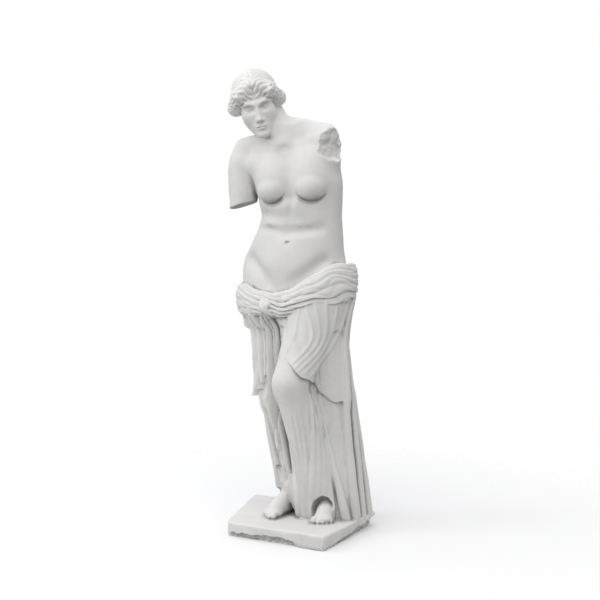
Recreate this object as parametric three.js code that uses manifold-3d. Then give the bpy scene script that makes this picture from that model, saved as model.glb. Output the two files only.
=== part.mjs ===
// A standing, half-draped female figure carved in marble in one block with its plinth.
// Both arms are lost: the right one is cut through the upper arm, and the left one is broken off
// at the shoulder. Millimetres, +Z up, the figure faces -Y and its left side is at +X. The origin
// is the centre of the plinth's underside.
//
// The figure is a distance field: rounded limbs, ellipsoids and a trunk lofted through stations,
// blended into each other. Rays shot inwards at the body's axis find its skin, ring by ring.
// The carving is given for a figure NOMINAL_HEIGHT tall, with heights counted from the plinth's
// top, and is scaled to FIGURE_HEIGHT.
import * as THREE from 'three';
import { mergeVertices } from 'three/addons/utils/BufferGeometryUtils.js';
import Module from 'manifold-3d';

// Driving dimensions
const FIGURE_HEIGHT = 1940;
const PLINTH_THICKNESS = 62;
const PLINTH_FRONT_WIDTH = 480;
const PLINTH_BACK_WIDTH = 650;
const PLINTH_DEPTH = 500;
const PLINTH_CORNER_CHAMFER = 26;
const FIGURE_TO_RIGHT_EDGE = 257;
const FRONT_BREAK_HEIGHT = 26;
const FRONT_BREAK_DEPTH = 20;
const SIDE_BREAK_HEIGHT = 44;
const SIDE_BREAK_DEPTH = 36;

// Shares and runs of the breaks: how far the front one goes along, and how small each one starts
const FRONT_BREAK_SHARE = 0.72;
const BREAK_START = 0.7;
const SIDE_BREAK_START = 0.1;
const BREAK_OVERRUN = 20;

// The carving's own scale
const NOMINAL_HEIGHT = 1940;
const SCALE = FIGURE_HEIGHT / NOMINAL_HEIGHT;
const ROOT_DEPTH = 12;

// Facets of the solid: the gap between rings at each height, closer where the carving is finer
const RING_SIDES = 50;
const RING_GAPS = [
  [-12, 12],
  [110, 15],
  [230, 34],
  [840, 34],
  [900, 20],
  [1080, 20],
  [1160, 28],
  [1300, 28],
  [1420, 22],
  [1560, 18],
  [1650, 12],
  [1940, 11],
];
const FRONT_CLOSENESS = 0.35;
const EDGE_REACH = 170;
const RAY_START = 420;
const RAY_STEPS = 90;
const RAY_CAUTION = 0.7;
const RAY_END = 4;
const SKIN_TOLERANCE = 0.25;
const CROWN_MARGIN = 3;
const CROWN_SEARCH = 1.04;
const ARM_SIDES = 20;
const ARM_RINGS = 4;
const ARM_SINK = 1;
const OFFCUT_SIZE = 3;

const radians = THREE.MathUtils.degToRad;

// Distance fields

const blend = (a, b, k) => {
  const h = Math.max(k - Math.abs(a - b), 0) / k;
  return Math.min(a, b) - h * h * k / 4;
};
const carve = (a, b, k) => -blend(-a, b, k);
const both = (a, b, k) => -blend(-a, -b, k);

function limb(p, a, b, ra, rb) {
  const ab = [b[0] - a[0], b[1] - a[1], b[2] - a[2]];
  const ap = [p[0] - a[0], p[1] - a[1], p[2] - a[2]];
  const along = (ap[0] * ab[0] + ap[1] * ab[1] + ap[2] * ab[2]) / (ab[0] ** 2 + ab[1] ** 2 + ab[2] ** 2);
  const t = Math.min(Math.max(along, 0), 1);
  const away = Math.hypot(ap[0] - t * ab[0], ap[1] - t * ab[1], ap[2] - t * ab[2]);
  return away - ra - t * (rb - ra);
}

function egg(p, c, r) {
  const q = [(p[0] - c[0]) / r[0], (p[1] - c[1]) / r[1], (p[2] - c[2]) / r[2]];
  const k0 = Math.hypot(...q);
  const k1 = Math.hypot(q[0] / r[0], q[1] / r[1], q[2] / r[2]);
  return k1 < 1e-9 ? -Math.min(...r) : k0 * (k0 - 1) / k1;
}

const beyond = (p, { point, normal }) =>
  (p[0] - point[0]) * normal[0] + (p[1] - point[1]) * normal[1] + (p[2] - point[2]) * normal[2];

// Named forms that are blended into a body one after another, each as softly as it says.
const PAIR = true;
const limbForm = (ends, radii, soft, pair = false) => ({ ends, radii, soft, pair });
const eggForm = (centre, size, soft, pair = false) => ({ centre, size, soft, pair });

function addForms(p, d, forms) {
  const mirrored = [Math.abs(p[0]), p[1], p[2]];
  return Object.values(forms).reduce((sum, form) => {
    const q = form.pair ? mirrored : p;
    const f = form.size ? egg(q, form.centre, form.size) : limb(q, ...form.ends, ...form.radii);
    return blend(sum, f, form.soft);
  }, d);
}

// A smooth curve through the rows of a table, each row [height, value, value, ...].
function alongTable(table, z) {
  const last = table.length - 1;
  if (z <= table[0][0]) return table[0].slice(1);
  if (z >= table[last][0]) return table[last].slice(1);
  let i = 0;
  while (z > table[i + 1][0]) i++;
  const [p, q] = [table[i], table[i + 1]];
  const before = table[Math.max(i - 1, 0)];
  const after = table[Math.min(i + 2, last)];
  const span = q[0] - p[0];
  const t = (z - p[0]) / span;
  return p.slice(1).map((v0, n) => {
    const v1 = q[n + 1];
    const m0 = (v1 - before[n + 1]) / (q[0] - before[0]) * span;
    const m1 = (after[n + 1] - v0) / (after[0] - p[0]) * span;
    return (2 * t ** 3 - 3 * t ** 2 + 1) * v0 + (t ** 3 - 2 * t ** 2 + t) * m0
      + (3 * t ** 2 - 2 * t ** 3) * v1 + (t ** 3 - t ** 2) * m1;
  });
}

// The spine: height, offset to the side, offset to the back, turn in degrees, rise per side step.
const SPINE = [
  [0, 20, 34, 0, 0],
  [500, 0, 30, 1, 0],
  [880, -44, 34, 2, -0.04],
  [1010, -55, 42, 3, -0.05],
  [1130, -50, 46, 4, -0.03],
  [1290, -22, 48, 7, 0.03],
  [1430, -28, 42, 10, 0.08],
  [1540, -54, 36, 12, 0.13],
  [1650, -84, 26, 12, 0.15],
];
// The trunk: height, half width, depth in front, depth behind.
const TRUNK = [
  [860, 200, 118, 135],
  [950, 230, 120, 150],
  [1040, 243, 118, 140],
  [1110, 236, 118, 124],
  [1190, 210, 120, 110],
  [1290, 183, 114, 104],
  [1370, 186, 114, 116],
  [1450, 196, 110, 132],
  [1530, 196, 96, 130],
  [1590, 162, 76, 112],
  [1640, 104, 60, 84],
  [1680, 64, 54, 60],
];

const SQUARENESS = 2.3;
const END_ROUNDING = 12;

function toTrunk(p) {
  const [cx, cy, turn, rise] = alongTable(SPINE, p[2]);
  const c = Math.cos(radians(turn));
  const s = Math.sin(radians(turn));
  const u = c * (p[0] - cx) + s * (p[1] - cy);
  const v = -s * (p[0] - cx) + c * (p[1] - cy);
  return [u, v, p[2] - rise * u];
}

function loft([u, v, z], table) {
  const [wide, front, back] = alongTable(table, z);
  const deep = v < 0 ? front : back;
  const r = Math.hypot(u, v);
  const q = ((Math.abs(u) / wide) ** SQUARENESS + (Math.abs(v) / deep) ** SQUARENESS) ** (1 / SQUARENESS);
  const side = q < 1e-6 ? -Math.min(wide, deep) : r * (1 - 1 / q);
  const [low, high] = [table[0][0], table[table.length - 1][0]];
  return both(side, Math.abs(z - (low + high) / 2) - (high - low) / 2, END_ROUNDING);
}

// Forms of the trunk in its own turned frame. A pair is given for the left side and mirrored.
const TRUNK_FORMS = {
  rightShoulder: limbForm([[-40, 4, 1640], [-200, 10, 1630]], [52, 52], 50),
  leftShoulder: limbForm([[20, 6, 1684], [172, 12, 1634]], [46, 46], 60),
  chest: limbForm([[76, -44, 1530], [172, -18, 1548]], [52, 50], 44, PAIR),
  shoulderBlade: eggForm([90, 86, 1500], [62, 42, 84], 44, PAIR),
  breast: eggForm([84, -84, 1424], [74, 62, 66], 34, PAIR),
  belly: eggForm([0, -52, 1110], [126, 78, 104], 50),
  seat: eggForm([90, 84, 965], [100, 90, 104], 30, PAIR),
};
const BACK_FURROW = { ends: [[0, 134, 1560], [0, 120, 1180]], radii: [12, 12], soft: 36 };

// What is left of the arms: the right one down to its cut, the left one's shoulder to its break.
const ARM = { shoulder: [-278, 4, 1548], end: [-284, -14, 1300], radii: [68, 58], soft: 20 };
const ARM_CUT = { point: [-284, 0, 1356], normal: [0.266, 0.02, -0.963] };
const LEFT_SHOULDER = { ends: [[136, 10, 1608], [190, -4, 1590]], radii: [64, 64], soft: 22 };
const SHOULDER_BREAK = { point: [196, -26, 1604], normal: [0.84, -0.48, -0.24], soft: 6 };
const SHOULDER_HOLLOW = { centre: [214, -84, 1586], size: [58, 54, 80], soft: 6 };

function torso(p) {
  const t = toTrunk(p);
  let d = addForms(t, loft(t, TRUNK), TRUNK_FORMS);
  d = carve(d, limb(t, ...BACK_FURROW.ends, ...BACK_FURROW.radii), BACK_FURROW.soft);
  d = blend(d, egg(p, ARM.shoulder, Array(3).fill(ARM.radii[0])), ARM.soft);
  const shoulder = limb(t, ...LEFT_SHOULDER.ends, ...LEFT_SHOULDER.radii);
  d = blend(d, both(shoulder, beyond(t, SHOULDER_BREAK), SHOULDER_BREAK.soft), LEFT_SHOULDER.soft);
  return carve(d, egg(t, SHOULDER_HOLLOW.centre, SHOULDER_HOLLOW.size), SHOULDER_HOLLOW.soft);
}

// The head, in its own frame: origin between the ears, face towards -Y.
const HEAD_AT = [-182, -50, 1782];
const HEAD_SIZE = 1.12;
const HEAD_TURN = new THREE.Matrix4().makeRotationFromEuler(
  new THREE.Euler(radians(16), radians(-14), radians(28), 'ZYX')).transpose();

function toHead(p) {
  const v = new THREE.Vector3(p[0] - HEAD_AT[0], p[1] - HEAD_AT[1], p[2] - HEAD_AT[2]);
  return v.applyMatrix4(HEAD_TURN).divideScalar(HEAD_SIZE).toArray();
}

const SKULL = { centre: [0, 16, 40], size: [76, 94, 80] };
const EYE_SOCKET = { centre: [30, -98, -2], size: [18, 18, 11], soft: 12 };
const FACE_FORMS = {
  face: eggForm([0, -30, -20], [60, 62, 84], 16),
  jaw: limbForm([[46, 4, -48], [12, -68, -90]], [22, 20], 22, PAIR),
  nose: limbForm([[0, -84, 10], [0, -102, -34]], [8, 12], 8),
  lips: eggForm([0, -82, -62], [26, 16, 12], 12),
};
const HAIR_FORMS = {
  browRoll: limbForm([[4, -62, 92], [60, -52, 60]], [20, 28], 12, PAIR),
  templeRoll: limbForm([[60, -52, 60], [82, -8, 14]], [28, 30], 12, PAIR),
  sideRoll: limbForm([[82, -8, 14], [58, 70, 0]], [30, 30], 12, PAIR),
  cap: eggForm([0, 22, 50], [88, 104, 88], 16),
  bun: eggForm([0, 118, 6], [42, 36, 38], 16),
};

function head(p) {
  const h = toHead(p);
  const eyes = [Math.abs(h[0]), h[1], h[2]];
  let d = addForms(h, egg(h, SKULL.centre, SKULL.size), FACE_FORMS);
  d = carve(d, egg(eyes, EYE_SOCKET.centre, EYE_SOCKET.size), EYE_SOCKET.soft);
  return addForms(h, d, HAIR_FORMS) * HEAD_SIZE;
}

const NECK = { low: [-78, 26, 1600], high: [-150, -8, 1745], radii: [70, 60] };

// Legs, and the mantle that hangs over them. Heights count from the plinth's top.
const RIGHT_LEG = { hip: [-128, 44, 930], knee: [-120, 6, 512], ankle: [-76, 60, 95] };
const LEFT_LEG = { hip: [66, 34, 925], knee: [30, -140, 600], ankle: [88, 40, 60] };

const MANTLE_FORMS = {
  rightShin: limbForm([RIGHT_LEG.knee, RIGHT_LEG.ankle], [74, 58], 30),
  leftThigh: limbForm([LEFT_LEG.hip, LEFT_LEG.knee], [112, 76], 60),
  leftShin: limbForm([LEFT_LEG.knee, LEFT_LEG.ankle], [76, 66], 36),
  between: limbForm([[-10, 30, 860], [10, 60, -20]], [108, 96], 50),
  behind: limbForm([[10, 90, 880], [40, 116, -20]], [112, 122], 60),
  leftSide: limbForm([[98, 50, 860], [160, 92, -20]], [66, 84], 50),
  trailing: limbForm([[140, 110, 460], [192, 180, -20]], [60, 62], 50),
};
const RIGHT_THIGH_RADII = [108, 74];
const CLOTH_THICKNESS = 16;
const CLOTH_SOFT = 30;

function skirt(p) {
  const thigh = limb(p, RIGHT_LEG.hip, RIGHT_LEG.knee, ...RIGHT_THIGH_RADII);
  return blend(addForms(p, thigh, MANTLE_FORMS), loft(toTrunk(p), TRUNK) - CLOTH_THICKNESS, CLOTH_SOFT);
}

// A fold is a ridge that follows the mantle from one place to another. Places are a bearing in
// degrees, counted from the front towards the figure's left, and a height.
const onMantle = (bearing, z, sink) => {
  const [cx, cy] = alongTable(SPINE, z);
  const a = radians(bearing);
  let r = RAY_START;
  for (let n = 0; n < RAY_STEPS; n++) {
    const d = skirt([cx + r * Math.sin(a), cy - r * Math.cos(a), z]) + sink;
    r -= d * RAY_CAUTION;
    if (d < SKIN_TOLERANCE || r < RAY_END) break;
  }
  return [cx + r * Math.sin(a), cy - r * Math.cos(a), z];
};

function fold(places, radii, sink, steps) {
  const line = [];
  for (let n = 0; n <= steps; n++) {
    const t = n / steps;
    const s = t * (places.length - 1);
    const i = Math.min(Math.floor(s), places.length - 2);
    const [b, z] = alongTable(places.map((place, k) => [k, ...place]), s);
    const r = radii[i] + (s - i) * (radii[i + 1] - radii[i]);
    line.push([onMantle(b, z, sink), r]);
  }
  return line;
}

// Ridges spread evenly between two lines of places.
function fan(count, from, to, radii, sink = 6, steps = 10) {
  return [...Array(count).keys()].map((n) => {
    const t = count === 1 ? 0 : n / (count - 1);
    const places = from.map((place, i) => place.map((v, k) => v + t * (to[i][k] - v)));
    return fold(places, radii, sink, steps);
  });
}

const FOLDS = [
  // from the knot down between the legs
  ...fan(3, [[-16, 900], [-26, 620], [-34, 300], [-36, 10]], [[-8, 900], [-12, 620], [-10, 300], [-6, 10]],
    [12, 18, 20, 24], 4),
  // drawn tight from the left hip to the bent knee
  ...fan(3, [[52, 930], [50, 800], [26, 690]], [[94, 970], [86, 760], [40, 640]], [10, 14, 8], 4),
  // hanging from the right hip in steps, ending free
  ...fan(4, [[-40, 940], [-38, 760], [-36, 600]], [[-94, 950], [-92, 700], [-84, 430]], [18, 25, 28], -6),
  // over the straight leg
  ...fan(3, [[-50, 960], [-52, 600], [-56, 160]], [[-104, 980], [-96, 600], [-96, 110]], [12, 15, 17]),
  // from the bent knee down the shin
  ...fan(4, [[38, 500], [42, 300], [44, 10]], [[70, 560], [76, 300], [76, 10]], [12, 18, 24]),
  // down the left side and round the back
  ...fan(3, [[86, 980], [88, 500], [84, 10]], [[126, 980], [124, 500], [122, 10]], [13, 20, 26]),
  ...fan(4, [[146, 980], [148, 500], [142, 10]], [[226, 980], [226, 500], [228, 10]], [13, 18, 24]),
];

// Each ridge keeps a box a little larger than itself, so that places far from it skip it.
const BOX_MARGIN = 20;
const boxOf = (line) => [0, 1].map((side) => [0, 1, 2].map((k) => {
  const out = line.map(([q, r]) => (side ? q[k] + r + BOX_MARGIN : q[k] - r - BOX_MARGIN));
  return side ? Math.max(...out) : Math.min(...out);
}));
const inBox = (p, [low, high]) => p.every((v, k) => v > low[k] && v < high[k]);

function ridges(p, d, lines) {
  for (const { line, box } of lines) {
    if (!inBox(p, box)) continue;
    for (let i = 0; i + 1 < line.length; i++) {
      d = blend(d, limb(p, line[i][0], line[i + 1][0], line[i][1], line[i + 1][1]), RIDGE_SOFT);
    }
  }
  return d;
}

// The rolled upper edge of the mantle, lower in front than behind, and its knot.
const ROLL = {
  strands: 5, turns: 2, spread: 30, radius: 24, swell: 7, steps: 36,
  front: 934, left: 1030, right: 950, back: 1044,
};
const KNOT = { bearing: -16, height: 918, sink: 4, size: [48, 42, 46] };
const RIDGE_SOFT = 12;

function rollHeight(bearing) {
  const a = radians(bearing);
  const side = Math.sin(a) > 0 ? ROLL.left : ROLL.right;
  const end = Math.cos(a) > 0 ? ROLL.front : ROLL.back;
  return end + (side - end) * Math.sin(a) ** 2;
}

const rollStrand = (n) => [...Array(ROLL.steps + 1).keys()].map((i) => {
  const bearing = 360 * i / ROLL.steps + KNOT.bearing;
  const twist = radians(bearing * ROLL.turns + n * 360 / ROLL.strands);
  const height = rollHeight(bearing) + ROLL.spread * Math.sin(twist);
  return [onMantle(bearing, height, -ROLL.swell * (Math.cos(twist) + 0.5)), ROLL.radius];
});

const STRANDS = [...Array(ROLL.strands).keys()].map(rollStrand);
const RIDGES = [...FOLDS, ...STRANDS].map((line) => ({ line, box: boxOf(line) }));
const KNOT_AT = onMantle(KNOT.bearing, KNOT.height, KNOT.sink);

// The mantle ends a little above the roll's middle, and its hem is lifted clear of the right foot.
const MANTLE_TOP = { height: 1030, soft: 20 };
const HEM = { height: -20, lift: 170, at: [-106, -70], spread: [84, 120], soft: 8 };

function mantle(p) {
  let d = both(skirt(p), p[2] - MANTLE_TOP.height, MANTLE_TOP.soft);
  d = ridges(p, d, RIDGES);
  d = blend(d, egg(p, KNOT_AT, KNOT.size), RIDGE_SOFT);
  const away = ((p[0] - HEM.at[0]) / HEM.spread[0]) ** 2 + ((p[1] - HEM.at[1]) / HEM.spread[1]) ** 2;
  return both(d, HEM.height + HEM.lift * Math.exp(-away) - p[2], HEM.soft);
}

// Feet: the whole foot of the straight leg shows, and only the toes of the other. In a foot's own
// frame its toes are at the origin and its heel is on the +Y axis.
const RIGHT_FOOT = { heel: [-72, 90], toes: [-100, -118] };
const LEFT_FOOT = { heel: [104, 100], toes: [150, -92] };
const SOLE = { ends: [[0, 190, 38], [0, 60, 34]], radii: [34, 36] };
const FOOT_FORMS = {
  instep: limbForm([[0, 190, 90], [2, 90, 52]], [36, 34], 30),
  toes: eggForm([0, 28, 16], [46, 44, 22], 20),
};
const FOOT_SOFT = 6;

function foot(p, { heel, toes }) {
  const out = Math.atan2(toes[0] - heel[0], heel[1] - toes[1]);
  const [x, y] = [p[0] - toes[0], p[1] - toes[1]];
  const q = [Math.cos(out) * x + Math.sin(out) * y, Math.cos(out) * y - Math.sin(out) * x, p[2]];
  return addForms(q, limb(q, ...SOLE.ends, ...SOLE.radii), FOOT_FORMS);
}

const NECK_SOFT = 34;
const CHIN_SOFT = 14;

function figure(p) {
  let d = blend(torso(p), limb(p, NECK.low, NECK.high, ...NECK.radii), NECK_SOFT);
  d = blend(d, head(p), CHIN_SOFT);
  d = Math.min(d, mantle(p));
  d = blend(d, foot(p, RIGHT_FOOT), FOOT_SOFT);
  return blend(d, foot(p, LEFT_FOOT), FOOT_SOFT);
}

// Skin

// Where the rings are centred, which is the spine up to the neck and the head above it.
const CENTRES = [
  [-20, 20, 34],
  [500, 0, 30],
  [900, -44, 34],
  [1270, -24, 48],
  [1540, -54, 34],
  [1650, -100, 6],
  [1760, -166, -34],
  [1940, -176, -34],
];

// Bearings are closer together in front, where the carving is finer.
const bearingOf = (share) => {
  const a = 2 * Math.PI * share;
  return a - FRONT_CLOSENESS * Math.sin(a);
};

// Rings near the mantle's rolled edge rise and fall with it, so that facets run along the edge.
function ringHeightAt(bearing, z) {
  const middle = (ROLL.front + ROLL.back) / 2;
  const lift = rollHeight(THREE.MathUtils.radToDeg(bearing)) - middle;
  return z + lift * Math.exp(-(((z - middle) / EDGE_REACH) ** 2));
}

function ring(height) {
  return [...Array(RING_SIDES).keys()].map((n) => {
    const a = bearingOf(n / RING_SIDES);
    const z = ringHeightAt(a, height);
    const [cx, cy] = alongTable(CENTRES, z);
    const [dx, dy] = [Math.sin(a), -Math.cos(a)];
    let r = RAY_START;
    for (let i = 0; i < RAY_STEPS && r > RAY_END; i++) {
      const d = figure([cx + r * dx, cy + r * dy, z]);
      if (d < SKIN_TOLERANCE) break;
      r -= Math.max(d * RAY_CAUTION, SKIN_TOLERANCE);
    }
    return [cx + Math.max(r, RAY_END) * dx, cy + Math.max(r, RAY_END) * dy, z];
  });
}

function crownHeight() {
  let z = NOMINAL_HEIGHT * CROWN_SEARCH;
  const [cx, cy] = alongTable(CENTRES, z);
  while (figure([cx, cy, z]) > SKIN_TOLERANCE) z -= 1;
  return z;
}

function ringHeights(crown) {
  const heights = [-ROOT_DEPTH];
  while (heights[heights.length - 1] < crown - CROWN_MARGIN) {
    const z = heights[heights.length - 1];
    heights.push(z + alongTable(RING_GAPS, z)[0]);
  }
  heights[heights.length - 1] = crown - CROWN_MARGIN;
  return heights;
}

function skin() {
  const crown = crownHeight();
  const rings = ringHeights(crown).map(ring);
  const top = rings[rings.length - 1];
  const middle = (points, z) => [
    points.reduce((s, q) => s + q[0], 0) / points.length,
    points.reduce((s, q) => s + q[1], 0) / points.length,
    z,
  ];
  const points = [...rings.flat(), middle(rings[0], -ROOT_DEPTH), middle(top, crown)];
  const faces = [];
  const at = (i, j) => i * RING_SIDES + j % RING_SIDES;
  for (let i = 0; i + 1 < rings.length; i++) {
    for (let j = 0; j < RING_SIDES; j++) {
      faces.push(at(i, j), at(i, j + 1), at(i + 1, j + 1), at(i, j), at(i + 1, j + 1), at(i + 1, j));
    }
  }
  const bottom = points.length - 2;
  for (let j = 0; j < RING_SIDES; j++) {
    faces.push(bottom, at(0, j + 1), at(0, j));
    faces.push(bottom + 1, at(rings.length - 1, j), at(rings.length - 1, j + 1));
  }
  const geometry = new THREE.BufferGeometry();
  geometry.setAttribute('position', new THREE.Float32BufferAttribute(points.flat(), 3));
  geometry.setIndex(faces);
  return geometry;
}

// The right upper arm, from inside the shoulder to the end that the cut takes off.
function arm() {
  const axis = new THREE.Vector3(...ARM.end).sub(new THREE.Vector3(...ARM.shoulder));
  const length = axis.length();
  const profile = [new THREE.Vector2(0, 0)];
  for (let i = 0; i <= ARM_RINGS; i++) {
    const share = i / ARM_RINGS;
    const radius = ARM.radii[0] + (ARM.radii[1] - ARM.radii[0]) * share;
    profile.push(new THREE.Vector2(radius - ARM_SINK, length * share));
  }
  profile.push(new THREE.Vector2(0, length));
  const geometry = new THREE.LatheGeometry(profile, ARM_SIDES);
  const up = new THREE.Vector3(0, 1, 0);
  geometry.applyQuaternion(new THREE.Quaternion().setFromUnitVectors(up, axis.normalize()));
  geometry.translate(...ARM.shoulder);
  return geometry;
}

// A block that takes away everything on the far side of the arm's cut.
function armOffcut() {
  const size = OFFCUT_SIZE * ARM.radii[0];
  const normal = new THREE.Vector3(...ARM_CUT.normal).normalize();
  const geometry = new THREE.BoxGeometry(size, size, size);
  geometry.translate(0, 0, size / 2);
  geometry.applyQuaternion(new THREE.Quaternion().setFromUnitVectors(new THREE.Vector3(0, 0, 1), normal));
  geometry.translate(...ARM_CUT.point);
  return geometry;
}

// Plinth

// An uneven slab: its right side is square to the front, and its left side runs outwards to the back.
function plinth() {
  const right = PLINTH_BACK_WIDTH / 2;
  const [front, back] = [-PLINTH_DEPTH / 2, PLINTH_DEPTH / 2];
  const frontLeft = right - PLINTH_FRONT_WIDTH;
  const outline = new THREE.Shape();
  outline.moveTo(frontLeft + PLINTH_CORNER_CHAMFER, front);
  outline.lineTo(right, front);
  outline.lineTo(right, back);
  outline.lineTo(-right, back);
  outline.lineTo(frontLeft - PLINTH_CORNER_CHAMFER / 2, front + PLINTH_CORNER_CHAMFER);
  outline.closePath();
  return new THREE.ExtrudeGeometry(outline, { depth: PLINTH_THICKNESS, bevelEnabled: false });
}

// A wedge that stands for stone broken away under an edge, from one end of the edge to the other.
const WEDGE_MARGIN = 10;
const WEDGE_LEAN = 0.6;
const WEDGE_SHOULDER = 0.7;

function brokenEdge(ends, [inX, inY], heights, depths) {
  const points = ends.flatMap(([x, y], n) => {
    const at = (deep, z) => [x + inX * deep, y + inY * deep, z];
    return [
      at(-WEDGE_MARGIN, -WEDGE_MARGIN),
      at(depths[n], -WEDGE_MARGIN),
      at(depths[n] * WEDGE_LEAN, heights[n] * WEDGE_SHOULDER),
      at(-WEDGE_MARGIN, heights[n]),
    ];
  });
  const sides = [0, 1, 2, 3].flatMap((i) => {
    const j = (i + 1) % 4;
    return [i, j, j + 4, i, j + 4, i + 4];
  });
  const geometry = new THREE.BufferGeometry();
  geometry.setAttribute('position', new THREE.Float32BufferAttribute(points.flat(), 3));
  geometry.setIndex([0, 2, 1, 0, 3, 2, 4, 5, 6, 4, 6, 7, ...sides]);
  return geometry;
}

// Solids

const wasm = await Module();
wasm.setup();

const WELD = 1e-4;

function solid(geometry) {
  const bare = geometry.clone();
  bare.deleteAttribute('normal');
  bare.deleteAttribute('uv');
  const merged = mergeVertices(bare, WELD);
  const corners = merged.index.array;
  const faces = [];
  for (let i = 0; i < corners.length; i += 3) {
    const [a, b, c] = [corners[i], corners[i + 1], corners[i + 2]];
    // a lathe leaves flat triangles at its poles
    if (a !== b && b !== c && c !== a) faces.push(a, b, c);
  }
  return new wasm.Manifold(new wasm.Mesh({
    numProp: 3,
    vertProperties: new Float32Array(merged.attributes.position.array),
    triVerts: new Uint32Array(faces),
  }));
}

function geometryOf(manifold) {
  const mesh = manifold.getMesh();
  const geometry = new THREE.BufferGeometry();
  geometry.setAttribute('position', new THREE.BufferAttribute(mesh.vertProperties, 3));
  geometry.setIndex(new THREE.BufferAttribute(mesh.triVerts, 1));
  geometry.computeVertexNormals();
  return geometry;
}

// The figure's geometry at its real size, standing on the plinth.
function placed(geometry) {
  geometry.scale(SCALE, SCALE, SCALE);
  geometry.translate(PLINTH_BACK_WIDTH / 2 - FIGURE_TO_RIGHT_EDGE, 0, PLINTH_THICKNESS);
  return solid(geometry);
}

function brokenSlab() {
  const right = PLINTH_BACK_WIDTH / 2;
  const front = -PLINTH_DEPTH / 2;
  const frontLeft = right - PLINTH_FRONT_WIDTH;
  const frontBreakEnd = frontLeft + PLINTH_FRONT_WIDTH * FRONT_BREAK_SHARE;
  const underFront = brokenEdge(
    [[frontLeft - BREAK_OVERRUN, front], [frontBreakEnd, front]],
    [0, 1],
    [FRONT_BREAK_HEIGHT * BREAK_START, FRONT_BREAK_HEIGHT],
    [FRONT_BREAK_DEPTH, FRONT_BREAK_DEPTH],
  );
  const underRight = brokenEdge(
    [[right, front + BREAK_OVERRUN], [right, -front + BREAK_OVERRUN]],
    [-1, 0],
    [SIDE_BREAK_HEIGHT * SIDE_BREAK_START, SIDE_BREAK_HEIGHT],
    [SIDE_BREAK_DEPTH * SIDE_BREAK_START, SIDE_BREAK_DEPTH],
  );
  return solid(plinth()).subtract(solid(underFront)).subtract(solid(underRight));
}

function statue() {
  const upperArm = placed(arm()).subtract(placed(armOffcut()));
  return brokenSlab().add(placed(skin())).add(upperArm);
}

const marble = new THREE.MeshStandardMaterial({ color: 0xdcdcda, roughness: 0.62, metalness: 0 });
const mesh = new THREE.Mesh(geometryOf(statue()), marble);
mesh.name = 'statue';

const group = new THREE.Group();
group.add(mesh);

export default group;
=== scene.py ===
"""Looks of a standing, half-draped marble figure carved in one with its plinth.

The form is a distance field in millimetres, with the solid model's sizes and pose and the finer
carving added: face, hair, toes, pleats, hems, breaks and pits. It is sampled on a grid near its
surface, meshed, thinned and weathered, and stands in metres where the solid model stands.
"""

import math
from concurrent.futures import ThreadPoolExecutor

import bmesh
import bpy
import numpy as np
import openvdb
from mathutils import Euler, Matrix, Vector


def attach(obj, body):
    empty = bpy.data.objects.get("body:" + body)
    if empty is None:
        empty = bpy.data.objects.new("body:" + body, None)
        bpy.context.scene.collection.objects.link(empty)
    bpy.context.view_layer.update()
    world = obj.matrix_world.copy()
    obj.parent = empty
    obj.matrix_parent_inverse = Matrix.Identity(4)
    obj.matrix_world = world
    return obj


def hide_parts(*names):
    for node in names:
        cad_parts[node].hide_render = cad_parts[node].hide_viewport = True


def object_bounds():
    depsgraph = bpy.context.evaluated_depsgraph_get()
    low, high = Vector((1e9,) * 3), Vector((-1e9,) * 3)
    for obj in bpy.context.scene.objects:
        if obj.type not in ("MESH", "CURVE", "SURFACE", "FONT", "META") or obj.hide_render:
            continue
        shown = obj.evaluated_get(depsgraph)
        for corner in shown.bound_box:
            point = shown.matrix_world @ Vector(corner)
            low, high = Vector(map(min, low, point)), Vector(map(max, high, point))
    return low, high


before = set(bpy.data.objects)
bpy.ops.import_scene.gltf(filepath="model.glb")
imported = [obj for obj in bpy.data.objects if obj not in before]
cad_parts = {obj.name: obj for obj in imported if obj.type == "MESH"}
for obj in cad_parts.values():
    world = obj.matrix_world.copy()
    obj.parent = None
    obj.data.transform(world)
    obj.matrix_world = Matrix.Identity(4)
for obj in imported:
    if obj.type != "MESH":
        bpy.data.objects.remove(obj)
CAD_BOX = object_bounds()

bl_info = {
    "name": "Weathered marble figure",
    "version": (1, 0, 0),
    "blender": (4, 5, 0),
    "location": "View3D > Sidebar > Statue",
    "description": "Carves, weathers and stages a draped marble figure on its plinth",
    "category": "Object",
}

MM = 0.001

# Sizes in millimetres, the plinth's as the solid model has them
PLINTH_THICKNESS = 62
PLINTH_FRONT_WIDTH = 480
PLINTH_BACK_WIDTH = 650
PLINTH_DEPTH = 500
PLINTH_CORNER_CHAMFER = 26
FIGURE_TO_RIGHT_EDGE = 257
FIGURE_SIDE = PLINTH_BACK_WIDTH / 2 - FIGURE_TO_RIGHT_EDGE
PLINTH_MIDDLE = np.array([FIGURE_SIDE, 0, PLINTH_THICKNESS], np.float32)
MANTLE_BEYOND_PLINTH = 3


# Distance fields

def blend(a, b, soft):
    """The join of two bodies, rounded where they meet."""
    h = np.maximum(soft - np.abs(a - b), 0.0) / soft
    return np.minimum(a, b) - h * h * soft * 0.25


def carve(a, b, soft):
    """Body a with body b taken away."""
    return -blend(-a, b, soft)


def both(a, b, soft):
    """What bodies a and b share."""
    return -blend(-a, -b, soft)


def limb(p, start, end, r0, r1):
    """A rounded bar that changes from one radius to another."""
    start = np.asarray(start, np.float32)
    run = np.asarray(end, np.float32) - start
    q = p - start
    t = np.clip(q @ run / max(float(run @ run), 1e-6), 0.0, 1.0)
    q = q - t[:, None] * run
    return np.sqrt(np.einsum("ij,ij->i", q, q)) - r0 - t * (r1 - r0)


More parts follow.
